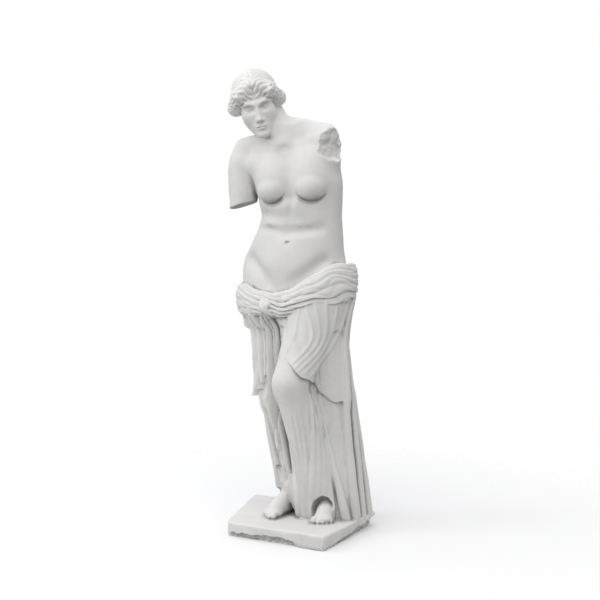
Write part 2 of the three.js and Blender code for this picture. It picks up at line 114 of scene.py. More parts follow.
def egg(p, centre, size):
    """An ellipsoid."""
    size = np.asarray(size, np.float32)
    q = (p - np.asarray(centre, np.float32)) / size
    k0 = np.sqrt(np.einsum("ij,ij->i", q, q))
    q = q / size
    k1 = np.sqrt(np.einsum("ij,ij->i", q, q))
    return k0 * (k0 - 1.0) / np.maximum(k1, 1e-6)


def beyond(p, point, normal):
    """How far points lie on the far side of a plane."""
    return (p - np.asarray(point, np.float32)) @ np.asarray(normal, np.float32)


CELL_CORNERS = [np.array([n & 1, n >> 1 & 1, n >> 2 & 1]) for n in range(8)]


def lattice_noise(p, scale, seed):
    """Smooth noise from -1 to 1 with features of one scale."""
    q = p.astype(np.float64) / scale
    cell = np.floor(q)
    f = q - cell
    f = f * f * (3 - 2 * f)
    total = np.zeros(len(p))
    for step in CELL_CORNERS:
        at = cell + step
        mixed = np.sin(at @ np.array([127.1, 311.7, 74.7]) + seed * 17.13) * 43758.5453
        weight = np.prod(np.where(step, f, 1 - f), axis=1)
        total += (mixed - np.floor(mixed)) * weight
    return (total * 2 - 1).astype(np.float32)


def rough(p, scale, seed):
    """Noise in two octaves, as broken stone has."""
    return lattice_noise(p, scale, seed) + 0.5 * lattice_noise(p, scale * 0.43, seed + 3)


def mirror(p):
    """Points folded over to the figure's left side."""
    return np.concatenate([np.abs(p[:, :1]), p[:, 1:]], 1)


# Forms: named bodies that are blended one after another

# Marks a form that stands on both sides of the middle
PAIR = True


def limb_form(ends, radii, soft, pair=False):
    """A rounded bar, and how softly it joins."""
    ends = np.array(ends, np.float32)
    reach = max(radii)
    return {"ends": ends, "radii": radii, "soft": soft, "pair": pair,
            "box": (ends.min(0) - reach, ends.max(0) + reach)}


def egg_form(centre, size, soft, pair=False):
    """An ellipsoid, and how softly it joins."""
    centre, size = np.array(centre, np.float32), np.array(size, np.float32)
    return {"centre": centre, "size": size, "soft": soft, "pair": pair,
            "box": (centre - size, centre + size)}


def is_near(box, low, high, margin):
    """Whether a box with a margin reaches into the box of the points in hand."""
    return bool(np.all(box[0] - margin < high) and np.all(box[1] + margin > low))


def form_field(q, form):
    if "size" in form:
        return egg(q, form["centre"], form["size"])
    return limb(q, form["ends"][0], form["ends"][1], *form["radii"])


def add_forms(p, d, forms, work=blend):
    """Blends or carves each form into d, leaving out those too far away to matter."""
    mirrored = mirror(p)
    spans = {False: (p.min(0), p.max(0)), True: (mirrored.min(0), mirrored.max(0))}
    for form in forms.values():
        if is_near(form["box"], *spans[form["pair"]], form["soft"] + 6):
            q = mirrored if form["pair"] else p
            d = work(d, form_field(q, form), form["soft"])
    return d


def lookup(table, low=-100, high=2100):
    """A table of stations as curves at every millimetre, so that points read it quickly."""
    rows = np.array(table, float)
    z = np.arange(low, high + 1.0)
    i = np.clip(np.searchsorted(rows[:, 0], z, side="right") - 1, 0, len(rows) - 2)
    before, after = np.maximum(i - 1, 0), np.minimum(i + 2, len(rows) - 1)
    span = rows[i + 1, 0] - rows[i, 0]
    t = np.clip((z - rows[i, 0]) / span, 0, 1)
    columns = []
    for n in range(1, rows.shape[1]):
        v0, v1 = rows[i, n], rows[i + 1, n]
        m0 = (v1 - rows[before, n]) / (rows[i + 1, 0] - rows[before, 0]) * span
        m1 = (rows[after, n] - v0) / (rows[after, 0] - rows[i, 0]) * span
        columns.append((2 * t ** 3 - 3 * t ** 2 + 1) * v0 + (t ** 3 - 2 * t ** 2 + t) * m0
                       + (3 * t ** 2 - 2 * t ** 3) * v1 + (t ** 3 - t ** 2) * m1)
    return lambda heights: [np.interp(heights, z, c).astype(np.float32) for c in columns]


# The body's axis: height, offset to the side, offset to the back, turn in degrees, rise per side step
SPINE = lookup([
    [0, 20, 34, 0, 0],
    [500, 0, 30, 1, 0],
    [880, -44, 34, 2, -0.04],
    [1010, -55, 42, 3, -0.05],
    [1130, -50, 46, 4, -0.03],
    [1290, -22, 48, 7, 0.03],
    [1430, -28, 42, 10, 0.08],
    [1540, -54, 36, 12, 0.13],
    [1650, -84, 26, 12, 0.15],
])
# The trunk: height, half width, depth in front, depth behind
TRUNK_LOW, TRUNK_HIGH = 860, 1680
TRUNK = lookup([
    [TRUNK_LOW, 200, 118, 135],
    [950, 230, 120, 150],
    [1040, 243, 118, 140],
    [1110, 236, 118, 124],
    [1190, 210, 120, 110],
    [1290, 183, 114, 104],
    [1370, 186, 114, 116],
    [1450, 196, 110, 132],
    [1530, 196, 96, 130],
    [1590, 162, 76, 112],
    [1640, 104, 60, 84],
    [TRUNK_HIGH, 64, 54, 60],
])
SQUARENESS = 2.3
END_ROUNDING = 12


def to_trunk(p):
    """Points in the trunk's own frame, which turns and leans with the spine."""
    cx, cy, turn, rise = SPINE(p[:, 2])
    c, s = np.cos(np.radians(turn)), np.sin(np.radians(turn))
    u = c * (p[:, 0] - cx) + s * (p[:, 1] - cy)
    v = -s * (p[:, 0] - cx) + c * (p[:, 1] - cy)
    return np.stack([u, v, p[:, 2] - rise * u], 1)


def loft(t):
    """The trunk lofted through its stations."""
    wide, front, back = TRUNK(t[:, 2])
    deep = np.where(t[:, 1] < 0, front, back)
    r = np.hypot(t[:, 0], t[:, 1])
    q = (np.abs(t[:, 0]) / wide) ** SQUARENESS + (np.abs(t[:, 1]) / deep) ** SQUARENESS
    q = q ** (1 / SQUARENESS)
    side = np.where(q < 1e-4, -np.minimum(wide, deep), r * (1 - 1 / np.maximum(q, 1e-4)))
    middle, half = (TRUNK_LOW + TRUNK_HIGH) / 2, (TRUNK_HIGH - TRUNK_LOW) / 2
    return both(side, np.abs(t[:, 2] - middle) - half, END_ROUNDING)


# Bodies that build the trunk up, and bodies carved from it
TRUNK_FORMS = {
    "right shoulder": limb_form([[-40, 4, 1640], [-200, 10, 1630]], [52, 52], 50),
    "left shoulder": limb_form([[20, 6, 1684], [172, 12, 1634]], [46, 46], 60),
    "chest": limb_form([[76, -44, 1530], [172, -18, 1548]], [52, 50], 44, PAIR),
    "shoulder blade": egg_form([90, 86, 1500], [62, 42, 84], 44, PAIR),
    "breast slope": egg_form([82, -76, 1457], [76, 60, 78], 44, PAIR),
    "breast": egg_form([84, -92, 1424], [70, 60, 60], 9, PAIR),
    "belly": egg_form([0, -52, 1110], [126, 78, 104], 50),
    "seat": egg_form([90, 84, 965], [100, 90, 104], 30, PAIR),
    "collar bone": limb_form([[20, -62, 1600], [150, -34, 1612]], [8, 8], 22, PAIR),
    "rib edge": limb_form([[22, -100, 1352], [104, -72, 1300]], [16, 14], 40, PAIR),
}
TRUNK_CUTS = {
    "back furrow": limb_form([[0, 134, 1560], [0, 120, 1180]], [12, 12], 36),
    "pit of the neck": egg_form([2, -84, 1604], [15, 13, 13], 26),
    "breast bone": limb_form([[0, -130, 1500], [0, -142, 1400]], [10, 14], 34),
    "middle line": limb_form([[0, -136, 1380], [4, -150, 1240]], [8, 8], 34),
    "navel": limb_form([[3, -123, 1195], [13, -123, 1195]], [5, 5], 7),
    "side crease": limb_form([[-186, -62, 1322], [-60, -132, 1308]], [12, 9], 44),
    "waist crease": limb_form([[-166, -82, 1260], [-20, -130, 1240]], [13, 13], 26),
    "waist crease, left": limb_form([[-20, -130, 1240], [140, -100, 1250]], [13, 11], 30),
    "hip line": limb_form([[176, -84, 1120], [76, -136, 1030]], [8, 8], 56, PAIR),
    "small of the back": egg_form([44, 132, 1120], [16, 14, 16], 26, PAIR),
}
UPPER_ARM = ([-278, 4, 1530], [-284, -14, 1300], 67, 58)
DELTOID = ([-277, 4, 1548], [72, 68, 84])
ARM_MUSCLE = ([-296, -6, 1500], [-292, -10, 1420], 56, 52)
ARM_CUT, CUT_RELIEF = ([-284, 0, 1356], [0.266, 0.02, -0.963]), 1.6
LEFT_SHOULDER = ([136, 10, 1608], [190, -4, 1590], 64, 64)
SHOULDER_BREAK = ([190, -26, 1602], [0.84, -0.48, -0.24])
BREAK_REACH = ([226, -40, 1600], [100, 112, 86])
SHOULDER_HOLLOW = ([186, -82, 1562], [38, 34, 34])
BREAK_LUMPS, BREAK_SPLINTERS = 7, 4.5
UNDER_BREAST = [[26, -121, 1402], [40, -120, 1380], [60, -117, 1366], [84, -109, 1360], [112, -98, 1362],
                [130, -90, 1372], [146, -82, 1390]]


def right_arm(p):
    """The upper arm, cut off at a slant in a slightly uneven face."""
    d = blend(limb(p, *UPPER_ARM), egg(p, *DELTOID), 20)
    d = blend(d, limb(p, *ARM_MUSCLE), 20)
    cut = beyond(p, *ARM_CUT) + CUT_RELIEF * lattice_noise(p, 22, 5)
    return both(d, cut, 2.5)


def broken_shoulder(t, d):
    """The left shoulder, broken off in a rough face with a hollow in front."""
    d = blend(d, limb(t, *LEFT_SHOULDER), 20)
    centre, size = (np.array(v, np.float32) for v in BREAK_REACH)
    if not is_near((centre - size, centre + size), t.min(0), t.max(0), 24):
        return d
    grain = BREAK_LUMPS * rough(t, 30, 11) + BREAK_SPLINTERS * lattice_noise(t, 12, 12)
    away = both(-beyond(t, *SHOULDER_BREAK) - grain, egg(t, centre, size) + grain, 8)
    return carve(d, np.minimum(away, egg(t, *SHOULDER_HOLLOW) + 0.7 * grain), 4)


def torso(p):
    """The trunk with the arm's stump and the broken shoulder."""
    t = to_trunk(p)
    d = add_forms(t, loft(t), TRUNK_FORMS)
    d = add_forms(t, d, TRUNK_CUTS, carve)
    d = add_lines(mirror(t), d, [BREAST_CREASE], 8, carve)
    d = blend(d, right_arm(p), 14)
    return broken_shoulder(t, d)


# The head, in its own frame: origin between the ears, face towards -Y
HEAD_AT = np.array([-182, -50, 1782], np.float32)
HEAD_SIZE = 1.12
HEAD_TURN = np.array(Euler((math.radians(16), math.radians(-14), math.radians(28)), "XYZ").to_matrix(),
                     np.float32)
HEAD_BOX = (HEAD_AT - 190, HEAD_AT + 190)

SKULL = ([0, 16, 40], [76, 94, 80])
FACE_FORMS = {
    "face": egg_form([0, -30, -20], [60, 62, 84], 16),
    "jaw": limb_form([[46, 0, -44], [12, -66, -92]], [21, 17], 24, PAIR),
    "inner brow": limb_form([[8, -84, 22], [34, -80, 29]], [8, 7], 9, PAIR),
    "outer brow": limb_form([[34, -80, 29], [55, -58, 19]], [7, 6], 9, PAIR),
    "cheek": egg_form([39, -50, -20], [24, 25, 27], 26, PAIR),
    "nose": limb_form([[0, -80, 26], [0, -99, -30]], [8, 9], 10),
    "nose tip": egg_form([0, -103, -34], [9.5, 10, 9], 6),
    "nostril": egg_form([10.5, -91, -37], [7, 9.5, 7], 5, PAIR),
    "mouth": egg_form([0, -72, -62], [29, 22, 23], 18),
    "upper lip": egg_form([7, -91, -60], [13, 7.5, 5], 4, PAIR),
    "lower lip": egg_form([0, -90, -70], [15, 8.5, 6], 5),
    "chin": egg_form([0, -79, -95], [20, 19, 16], 14),
}
SOCKETS = {"socket": egg_form([30, -90, 4], [21, 21, 14], 9, PAIR)}
EYES = {"eyeball": egg_form([30, -60, 3], [15, 15.5, 14], 1.5, PAIR)}
EYELID_SIZE = [18, 18, 16.5]
LID_OPENING = {"centre": 30, "height": 2, "radius": 21, "offset": 14.6}
FACE_CUTS = {
    "mouth line": limb_form([[0, -101, -65.5], [20, -86, -66]], [1.6, 1.3], 3, PAIR),
    "nostril hole": egg_form([6.5, -99, -42], [3, 5, 3], 2, PAIR),
    "under the nose": limb_form([[0, -97, -48], [0, -98, -55]], [2.6, 3], 5),
    "under the lip": egg_form([0, -98, -81], [14, 6, 4.5], 8),
    "lid fold": limb_form([[18, -82, 15], [42, -72, 14]], [2.2, 1.6], 4, PAIR),
}
HAIR_FORMS = {
    "brow roll": limb_form([[4, -62, 92], [60, -52, 60]], [20, 28], 12, PAIR),
    "temple roll": limb_form([[60, -52, 60], [82, -8, 14]], [28, 30], 12, PAIR),
    "side roll": limb_form([[82, -8, 14], [58, 70, 0]], [30, 30], 12, PAIR),
    "cap": egg_form([0, 22, 50], [88, 104, 88], 16),
}
PARTING_WIDTH, PARTING_DEPTH = 4.0, 6.0
HAIR_CENTRE = [10, 20]
LOCKS, LOCK_DEPTH, LOCK_DRIFT = 15, 6.5, 0.005
STRANDS, STRAND_DEPTH = 52, 1.8
# Waves of the locks: how far each sways, how wide it is, and how it moves on from lock to lock
LOCK_WAVES = ((0.07, 11, 2), (0.012, 5, 9))
BUN = {"bun": egg_form([0, 118, 6], [42, 36, 38], 5)}
BUN_TWISTS, BUN_RELIEF = 4, 3.5
CURL_PATH = [[58, -66, 62], [76, -34, 34], [84, 0, 10], [74, 40, 2]]
CURL_RADIUS, CURL_SINK = 13, 16
CURL_RELIEF, CURL_WINDING = 2.6, 1.9


def make_curls():
    """Places of the curls over the temples and ears, each with the way that it faces."""
    curls = []
    along = through(CURL_PATH, np.linspace(0, 1, 7))
    for n, at in enumerate(along):
        out = at - np.array([4, 10, 30])
        out /= np.linalg.norm(out)
        run = along[min(n + 1, len(along) - 1)] - along[max(n - 1, 0)]
        run /= np.linalg.norm(run)
        across = np.cross(out, run)
        for turn in ((-62, 0, 58) if n % 2 else (-34, 30)):
            a = math.radians(turn)
            face = out * math.cos(a) + across * math.sin(a)
            curls.append((at + face * CURL_SINK, face, np.cross(face, run), n * 1.7 + turn))
    return curls


def hair(h):
    """Waved locks that run back from a parting to a bun, with curls at the temples."""
    d = add_forms(h, np.full(len(h), 1e3, np.float32), HAIR_FORMS)
    angle = np.arctan2(h[:, 2] - HAIR_CENTRE[1], HAIR_CENTRE[0] - h[:, 1])
    aside = np.abs(h[:, 0])
    wave = sum(sway * np.sin(aside / wide + angle * turn) for sway, wide, turn in LOCK_WAVES)
    wave = wave - LOCK_DRIFT * aside
    lock = np.abs(np.sin(LOCKS * (angle + wave))) ** 0.75
    strand = np.abs(np.sin(STRANDS * (angle + 1.2 * wave)))
    fade = np.clip((100 - aside) / 40, 0.25, 1)
    parting = np.exp(-((h[:, 0] / PARTING_WIDTH) ** 2)) * np.clip((50 - h[:, 1]) / 30, 0, 1)
    d = d - (LOCK_DEPTH * (lock - 0.6) + STRAND_DEPTH * (strand - 0.6)) * fade + PARTING_DEPTH * parting
    knot = form_field(h, BUN["bun"])
    around = np.arctan2(h[:, 0], h[:, 2] - 6)
    knot = knot - BUN_RELIEF * (np.abs(np.sin(BUN_TWISTS * around + (h[:, 1] - 118) / 16)) ** 0.7 - 0.5)
    d = blend(d, knot, 5)
    mirrored = mirror(h)
    for place, face, side, start in CURLS:
        q = mirrored - place.astype(np.float32)
        reach = np.sqrt(np.einsum("ij,ij->i", q, q))
        if reach.min() > 3 * CURL_RADIUS:
            continue
        u, v = q @ side.astype(np.float32), q @ np.cross(face, side).astype(np.float32)
        spiral = np.arctan2(v, u) + np.hypot(u, v) / CURL_WINDING + start
        d = blend(d, reach - CURL_RADIUS - CURL_RELIEF * np.sin(spiral), 2)
        d = carve(d, limb(mirrored, place + face * 8, place + face * 20, 1.8, 2.2), 2)
    return d


def eyelids(h):
    """Lids round an almond opening, a little proud of the eyeball."""
    mirrored = mirror(h)
    lids = egg(mirrored, EYES["eyeball"]["centre"], EYELID_SIZE)
    x = mirrored[:, 0] - LID_OPENING["centre"]
    z = mirrored[:, 2] - LID_OPENING["height"]
    low = np.hypot(x, z + LID_OPENING["offset"]) - LID_OPENING["radius"]
    high = np.hypot(x, z - LID_OPENING["offset"]) - LID_OPENING["radius"]
    return carve(lids, np.maximum(low, high), 1.2)


def head(p):
    """The head, with its eyes set into their sockets between the lids."""
    h = ((p - HEAD_AT) @ HEAD_TURN) / HEAD_SIZE
    d = add_forms(h, egg(h, *SKULL), FACE_FORMS)
    d = add_forms(h, d, SOCKETS, carve)
    d = blend(d, eyelids(h), 2)
    d = add_forms(h, d, EYES)
    d = add_forms(h, d, FACE_CUTS, carve)
    return blend(d, hair(h), 3) * HEAD_SIZE


NECK = {
    "neck": limb_form([[-78, 26, 1600], [-150, -8, 1745]], [70, 60], 34),
    "left cord": limb_form([[-52, -34, 1626], [-116, 18, 1760]], [7, 12], 40),
    "right cord": limb_form([[-84, -42, 1620], [-204, -10, 1740]], [7, 12], 40),
}

# Legs, and the mantle that hangs over them
RIGHT_LEG = {"hip": [-128, 44, 930], "knee": [-120, 6, 512], "ankle": [-76, 60, 95]}
LEFT_LEG = {"hip": [66, 34, 925], "knee": [30, -140, 600], "ankle": [88, 40, 60]}
RIGHT_THIGH = {"thigh": limb_form([RIGHT_LEG["hip"], RIGHT_LEG["knee"]], [108, 74], 10)}
MANTLE_FORMS = {
    "right shin": limb_form([RIGHT_LEG["knee"], RIGHT_LEG["ankle"]], [74, 58], 30),
    "left thigh": limb_form([LEFT_LEG["hip"], LEFT_LEG["knee"]], [112, 76], 60),
    "left shin": limb_form([LEFT_LEG["knee"], LEFT_LEG["ankle"]], [76, 66], 36),
    "between": limb_form([[-10, 30, 860], [10, 60, -20]], [108, 96], 50),
    "behind": limb_form([[10, 90, 880], [40, 116, -20]], [112, 122], 60),
    "left side": limb_form([[98, 50, 860], [160, 92, -20]], [66, 84], 50),
    "trailing": limb_form([[140, 110, 460], [192, 180, -20]], [60, 62], 50),
}
CLOTH_THICKNESS = 16
CLOTH_SOFT = 30


def skirt(p):
    """The smooth mass of the mantle, before its folds."""
    d = add_forms(p, form_field(p, RIGHT_THIGH["thigh"]), MANTLE_FORMS)
    return blend(d, loft(to_trunk(p)) - CLOTH_THICKNESS, CLOTH_SOFT)


def bearing_of(p):
    """Degrees from the front towards the figure's left, from 0 to 360."""
    cx, cy = SPINE(p[:, 2])[:2]
    return np.degrees(np.arctan2(p[:, 0] - cx, cy - p[:, 1])) % 360


# The overfold: a second layer of cloth whose hem runs round the left side and the back
OVERFOLD_HEM = np.array([[14, 700], [30, 650], [48, 600], [70, 545], [96, 500], [130, 540], [170, 610],
                         [215, 690], [262, 760]], float)
OVERFOLD_THICKNESS = 16

# How deep the valleys lie between the pleats, by bearing, and the small pleats in them
VALLEYS = np.array([[0, 1], [20, 5], [34, 9], [50, 9], [120, 10], [180, 10], [250, 12], [290, 12],
                    [322, 26], [343, 28], [352, 12], [360, 1]], float)
SMALL_PLEATS, SMALL_PLEAT_DEPTH = 15, 4


def pleated(p, bearing=None):
    """The mantle with the valleys that its pleats stand in."""
    d = skirt(p)
    if p[:, 2].min() > 1060:
        return d
    bearing = bearing_of(p) if bearing is None else bearing
    sway = 7 * np.sin(p[:, 2] / 150 + 1.3) + 3 * np.sin(p[:, 2] / 61 + bearing / 20)
    valley = np.interp(bearing, VALLEYS[:, 0], VALLEYS[:, 1]) * np.clip((960 - p[:, 2]) / 120, 0, 1)
    pleat = np.abs(np.sin(np.radians((bearing + sway) * SMALL_PLEATS)))
    d = d + valley - SMALL_PLEAT_DEPTH * valley / 14 * (pleat - 0.5)
    return d


def cloth(p):
    """The mantle with its overfold."""
    bearing = bearing_of(p)
    d = pleated(p, bearing)
    inside = np.clip((bearing - OVERFOLD_HEM[0, 0]) / 12, 0, 1)
    inside = inside * np.clip((OVERFOLD_HEM[-1, 0] - bearing) / 16, 0, 1)
    layer = d - OVERFOLD_THICKNESS * inside
    if p[:, 2].min() > OVERFOLD_HEM[:, 1].max() + 30:
        return layer
    hem = np.interp(bearing, OVERFOLD_HEM[:, 0], OVERFOLD_HEM[:, 1])
    hem = hem + 9 * np.sin(np.radians(bearing * 8)) + 4 * np.sin(np.radians(bearing * 21))
    return np.minimum(d, both(layer, (hem - p[:, 2]) * 0.9, 5))


SEARCH_FROM, SEARCH_STEPS, SEARCH_PACE, SEARCH_END = 430.0, 90, 0.7, 5


def on_mantle(bearing, height, sink, surface=cloth):
    """Points on the mantle at given bearings and heights, sunk below its surface by a given depth."""
    bearing, height = np.radians(np.asarray(bearing, float)), np.asarray(height, float)
    cx, cy = SPINE(height)[:2]
    r = np.full(bearing.shape, SEARCH_FROM)
    for _ in range(SEARCH_STEPS):
        p = np.stack([cx + r * np.sin(bearing), cy - r * np.cos(bearing), height], 1).astype(np.float32)
        r = np.maximum(r - SEARCH_PACE * (surface(p) + sink), SEARCH_END)
    return np.stack([cx + r * np.sin(bearing), cy - r * np.cos(bearing), height], 1)


# Folds are ridges that follow the mantle between places given as bearing and height

FOLD_STEPS = 14
seeded = np.random.default_rng(20)


def through(rows, t):
    """A smooth curve through rows of values, read at shares t from 0 to 1."""
    rows = np.array([[k * 100, *row] for k, row in enumerate(rows)], float)
    return np.stack(lookup(rows, 0, int(rows[-1, 0]))(np.asarray(t) * rows[-1, 0]), 1)


def line_of(points, radii):
    """A chain of rounded bars through points."""
    points = np.asarray(points, np.float32)
    radii = np.asarray(radii, np.float32)
    reach = np.maximum(radii[:-1], radii[1:])[:, None]
    lows = np.minimum(points[:-1], points[1:]) - reach
    highs = np.maximum(points[:-1], points[1:]) + reach
    return {"points": points, "radii": radii, "lows": lows, "highs": highs,
            "box": (lows.min(0), highs.max(0))}


def fan(count, start, stop, radii, sink=6, stray=1.0, surface=cloth):
    """Ridges spread evenly between two lines of places, each straying a little from its even place."""
    lines = []
    t = np.linspace(0, 1, FOLD_STEPS)
    swing = seeded.uniform(0, 6)
    for n in range(count):
        share = n / max(count - 1, 1)
        places = np.array(start, float) * (1 - share) + np.array(stop, float) * share
        places = through(places, t)
        places[:, 0] += stray * (seeded.normal(0, 1.0) + 1.3 * np.sin(t * 5 + swing + n * 0.5))
        size = through([[r] for r in radii], t)[:, 0] * seeded.uniform(0.82, 1.16)
        lines.append(line_of(on_mantle(places[:, 0], places[:, 1], sink, surface), size))
    return lines


def line_field(p, line, low, high, margin):
    """Distance to one ridge, or None where it is too far away to matter."""
    if not is_near(line["box"], low, high, margin):
        return None
    near = np.all(line["lows"] - margin < high, 1) & np.all(line["highs"] + margin > low, 1)
    d = None
    for i in np.nonzero(near)[0]:
        part = limb(p, line["points"][i], line["points"][i + 1], line["radii"][i], line["radii"][i + 1])
        d = part if d is None else np.minimum(d, part)
    return d


def add_lines(p, d, lines, soft, work=blend):
    """Blends or carves each line into d."""
    low, high = p.min(0), p.max(0)
    for line in lines:
        near = line_field(p, line, low, high, soft + 6)
        if near is not None:
            d = work(d, near, soft)
    return d


def make_folds():
    """Every large fold of the mantle, from the roll downwards."""
    lines = []
    lines += fan(7, [[-50, 900], [-50, 620], [-46, 300], [-44, 120]],
                 [[-8, 890], [-12, 620], [-9, 300], [-5, 6]], [6, 9, 11, 13], -5, 0.8)
    lines += fan(5, [[46, 930], [46, 800], [22, 690]], [[90, 980], [79, 770], [41, 640]], [7, 9, 5], 2)
    lines += fan(3, [[6, 905], [14, 830], [4, 720]], [[40, 940], [30, 830], [10, 700]], [6, 8, 4], 2)
    lines += fan(4, [[14, 470], [18, 250], [22, 8]], [[34, 500], [38, 250], [41, 8]], [4, 10, 14], 1)
    lines += fan(4, [[-50, 600], [-54, 330], [-60, 170]], [[-100, 640], [-98, 330], [-99, 90]],
                 [6, 11, 13], -4)
    lines += fan(5, [[42, 625], [43, 300], [46, 6]], [[66, 590], [76, 300], [88, 6]], [3, 15, 23], -3, 0.6,
                 pleated)
    lines += fan(4, [[98, 950], [95, 500], [101, 6]], [[132, 980], [132, 500], [138, 6]],
                 [11, 18, 24], -5, 0.6)
    lines += fan(6, [[146, 980], [148, 500], [150, 6]], [[238, 980], [238, 500], [238, 30]], [12, 19, 25], -4)
    return lines


# Bunches of cloth folded back and forth, which hang and end in a zigzag hem
TAILS = [
    {"top": 980, "hem": 560, "middle": [-62, -60], "half": [18, 21], "folds": 4,
     "thick": 8, "depth": 34, "zigzag": 62, "slope": 70},
    {"top": 975, "hem": 700, "middle": [-90, -98], "half": [14, 18], "folds": 3,
     "thick": 20, "depth": 28, "zigzag": 40, "slope": 30},
    {"top": 960, "hem": 245, "middle": [-25, -34], "half": [9, 18], "folds": 3,
     "thick": 8, "depth": 36, "zigzag": 66, "slope": -90},
]
PLEAT_RISE = 0.72
TAIL_EDGE, TAIL_FADE = 3.0, 60


def add_tail(p, bearing, d, tail):
    """Lays one bunch over the mantle: knife pleats that end in a zigzag hem."""
    low, high = p[:, 2].min(), p[:, 2].max()
    if high < tail["hem"] - 40 or low > tail["top"]:
        return d
    share = np.clip((tail["top"] - p[:, 2]) / (tail["top"] - tail["hem"]), 0, 1)
    middle = tail["middle"][0] + (tail["middle"][1] - tail["middle"][0]) * share
    half = tail["half"][0] + (tail["half"][1] - tail["half"][0]) * share
    across = ((bearing - middle + 180) % 360 - 180) / half
    if np.abs(across).min() > 1.3:
        return d
    phase = (across + 1) / 2 * tail["folds"] + 0.10 * np.sin(p[:, 2] / 47 + tail["hem"])
    crest = np.minimum(phase % 1 / PLEAT_RISE, (1 - phase % 1) / (1 - PLEAT_RISE))
    ripple = 0.8 + 0.2 * np.sin(phase * 2.2 + tail["hem"])
    edge = np.clip((1 - np.abs(across)) * half / TAIL_EDGE, 0, 1)
    edge = edge * edge * (3 - 2 * edge) * np.clip((tail["top"] - p[:, 2]) / TAIL_FADE, 0, 1)
    thick = (tail["thick"] + tail["depth"] * ripple * crest) * edge
    hem = tail["hem"] + tail["zigzag"] * (1 - crest) + tail["slope"] * across - p[:, 2]
    return np.minimum(d, both(d - thick, hem * 0.8, 3))


ROLL = {"out": 27, "proud": 4, "ridges": 14, "turns": 2, "relief": 11, "crease": 4,
        "front": 928, "left": 1026, "right": 946, "back": 1040}
ROLL_HALF = {"front": 50, "left": 76, "right": 64, "back": 60}
KNOT = {"bearing": -16, "height": 918, "sink": 4, "size": [44, 38, 44]}


def round_body(values, bearing):
    """A value that changes smoothly round the body between its front, its sides and its back."""
    a = np.radians(bearing)
    side = np.where(np.sin(a) > 0, values["left"], values["right"])
    end = np.where(np.cos(a) > 0, values["front"], values["back"])
    return end + (side - end) * np.sin(a) ** 2


ROLL_BEARINGS = np.arange(0, 361, 4.0)


def roll_radii():
    """How far the smooth mantle lies from the spine where the roll goes round it."""
    height = round_body(ROLL, ROLL_BEARINGS)
    at = on_mantle(ROLL_BEARINGS, height, 0, skirt)
    cx, cy = SPINE(height)[:2]
    return np.hypot(at[:, 0] - cx, at[:, 1] - cy)


ROLL_RADII = roll_radii()


def roll(p, bearing):
    """The rolled upper edge of the mantle, whose folds wind round it."""
    cx, cy = SPINE(p[:, 2])[:2]
    away = np.hypot(p[:, 0] - cx, p[:, 1] - cy)
    half = round_body(ROLL_HALF, bearing)
    a = np.radians(bearing)
    half = half * (1 + 0.07 * np.sin(5 * a + 1) + 0.04 * np.sin(11 * a))
    out = (away - np.interp(bearing, ROLL_BEARINGS, ROLL_RADII) - ROLL["proud"]) / ROLL["out"]
    up = (p[:, 2] - round_body(ROLL, bearing)) / half
    k0 = np.hypot(out, up)
    k1 = np.hypot(out / ROLL["out"], up / half)
    d = k0 * (k0 - 1) / np.maximum(k1, 1e-6)
    around = np.arctan2(up, out)
    phase = around / 2 / np.pi * ROLL["ridges"] + a / 2 / np.pi * ROLL["turns"] * 3
    phase = phase + 0.32 * np.sin(3 * a + 2 * around) + 0.16 * np.sin(8 * a + 2 * around)
    relief = ROLL["relief"] * (0.75 + 0.35 * np.sin(2 * a + 2 * around + 1))
    crease = np.abs(np.sin(np.pi * (1.5 * phase + 0.35 * np.sin(13 * a + 2 * around)))) ** 0.7
    return d - relief * (np.abs(np.sin(np.pi * phase)) ** 0.55 - 0.5) - ROLL["crease"] * (crease - 0.6)


def make_knot():
    """The strands that wrap the knot."""
    lines = []
    for turn, lift in ((35, 44), (-50, 50), (80, 36)):
        a = math.radians(turn)
        t = np.linspace(-1, 1, 9)
        bearing = KNOT["bearing"] + 11 * t * math.cos(a)
        height = KNOT["height"] + 44 * t * math.sin(a)
        lines.append(line_of(on_mantle(bearing, height, 4 - lift * np.cos(t * 1.3), skirt), 14 - 3 * t * t))
    return lines


BREAST_CREASE = line_of(UNDER_BREAST, [0.5, 3, 5, 5.5, 4.5, 2.5, 0.5])
CURLS = make_curls()
FOLDS = make_folds()
GROOVES = fan(2, [[-42, 860], [-46, 560], [-50, 160]], [[-6, 800], [-8, 560], [-6, 40]],
              [2, 10, 12, 4], 2)
KNOT_STRANDS = make_knot()
KNOT_AT = on_mantle([KNOT["bearing"]], [KNOT["height"]], KNOT["sink"])[0]
FOLD_SOFT, GROOVE_SOFT = 7, 8
MANTLE_ABOVE_ROLL = 22
ROLL_LOW, ROLL_HIGH = 840, 1150
HOLLOWS_BELOW = 260
HEM = {"height": -20, "lift": 170, "at": np.array([-106, -70], np.float32),
       "spread": np.array([84, 120], np.float32)}
HOLLOWS = {
    "over the right foot": limb_form([[-100, -84, 60], [-92, -20, 168]], [52, 40], 10),
    "over the left foot": limb_form([[150, -104, 30], [124, -30, 64]], [50, 44], 12),
}


def block_sides(q):
    """Distances beyond each upright side of the block, in the plinth's own frame."""
    for i, corner in enumerate(OUTLINE):
        after = OUTLINE[(i + 1) % len(OUTLINE)]
        run = np.array(after) - np.array(corner)
        out = np.array([run[1], -run[0]]) / np.hypot(*run)
        yield ((q[:, 0] - corner[0]) * out[0] + (q[:, 1] - corner[1]) * out[1]).astype(np.float32)


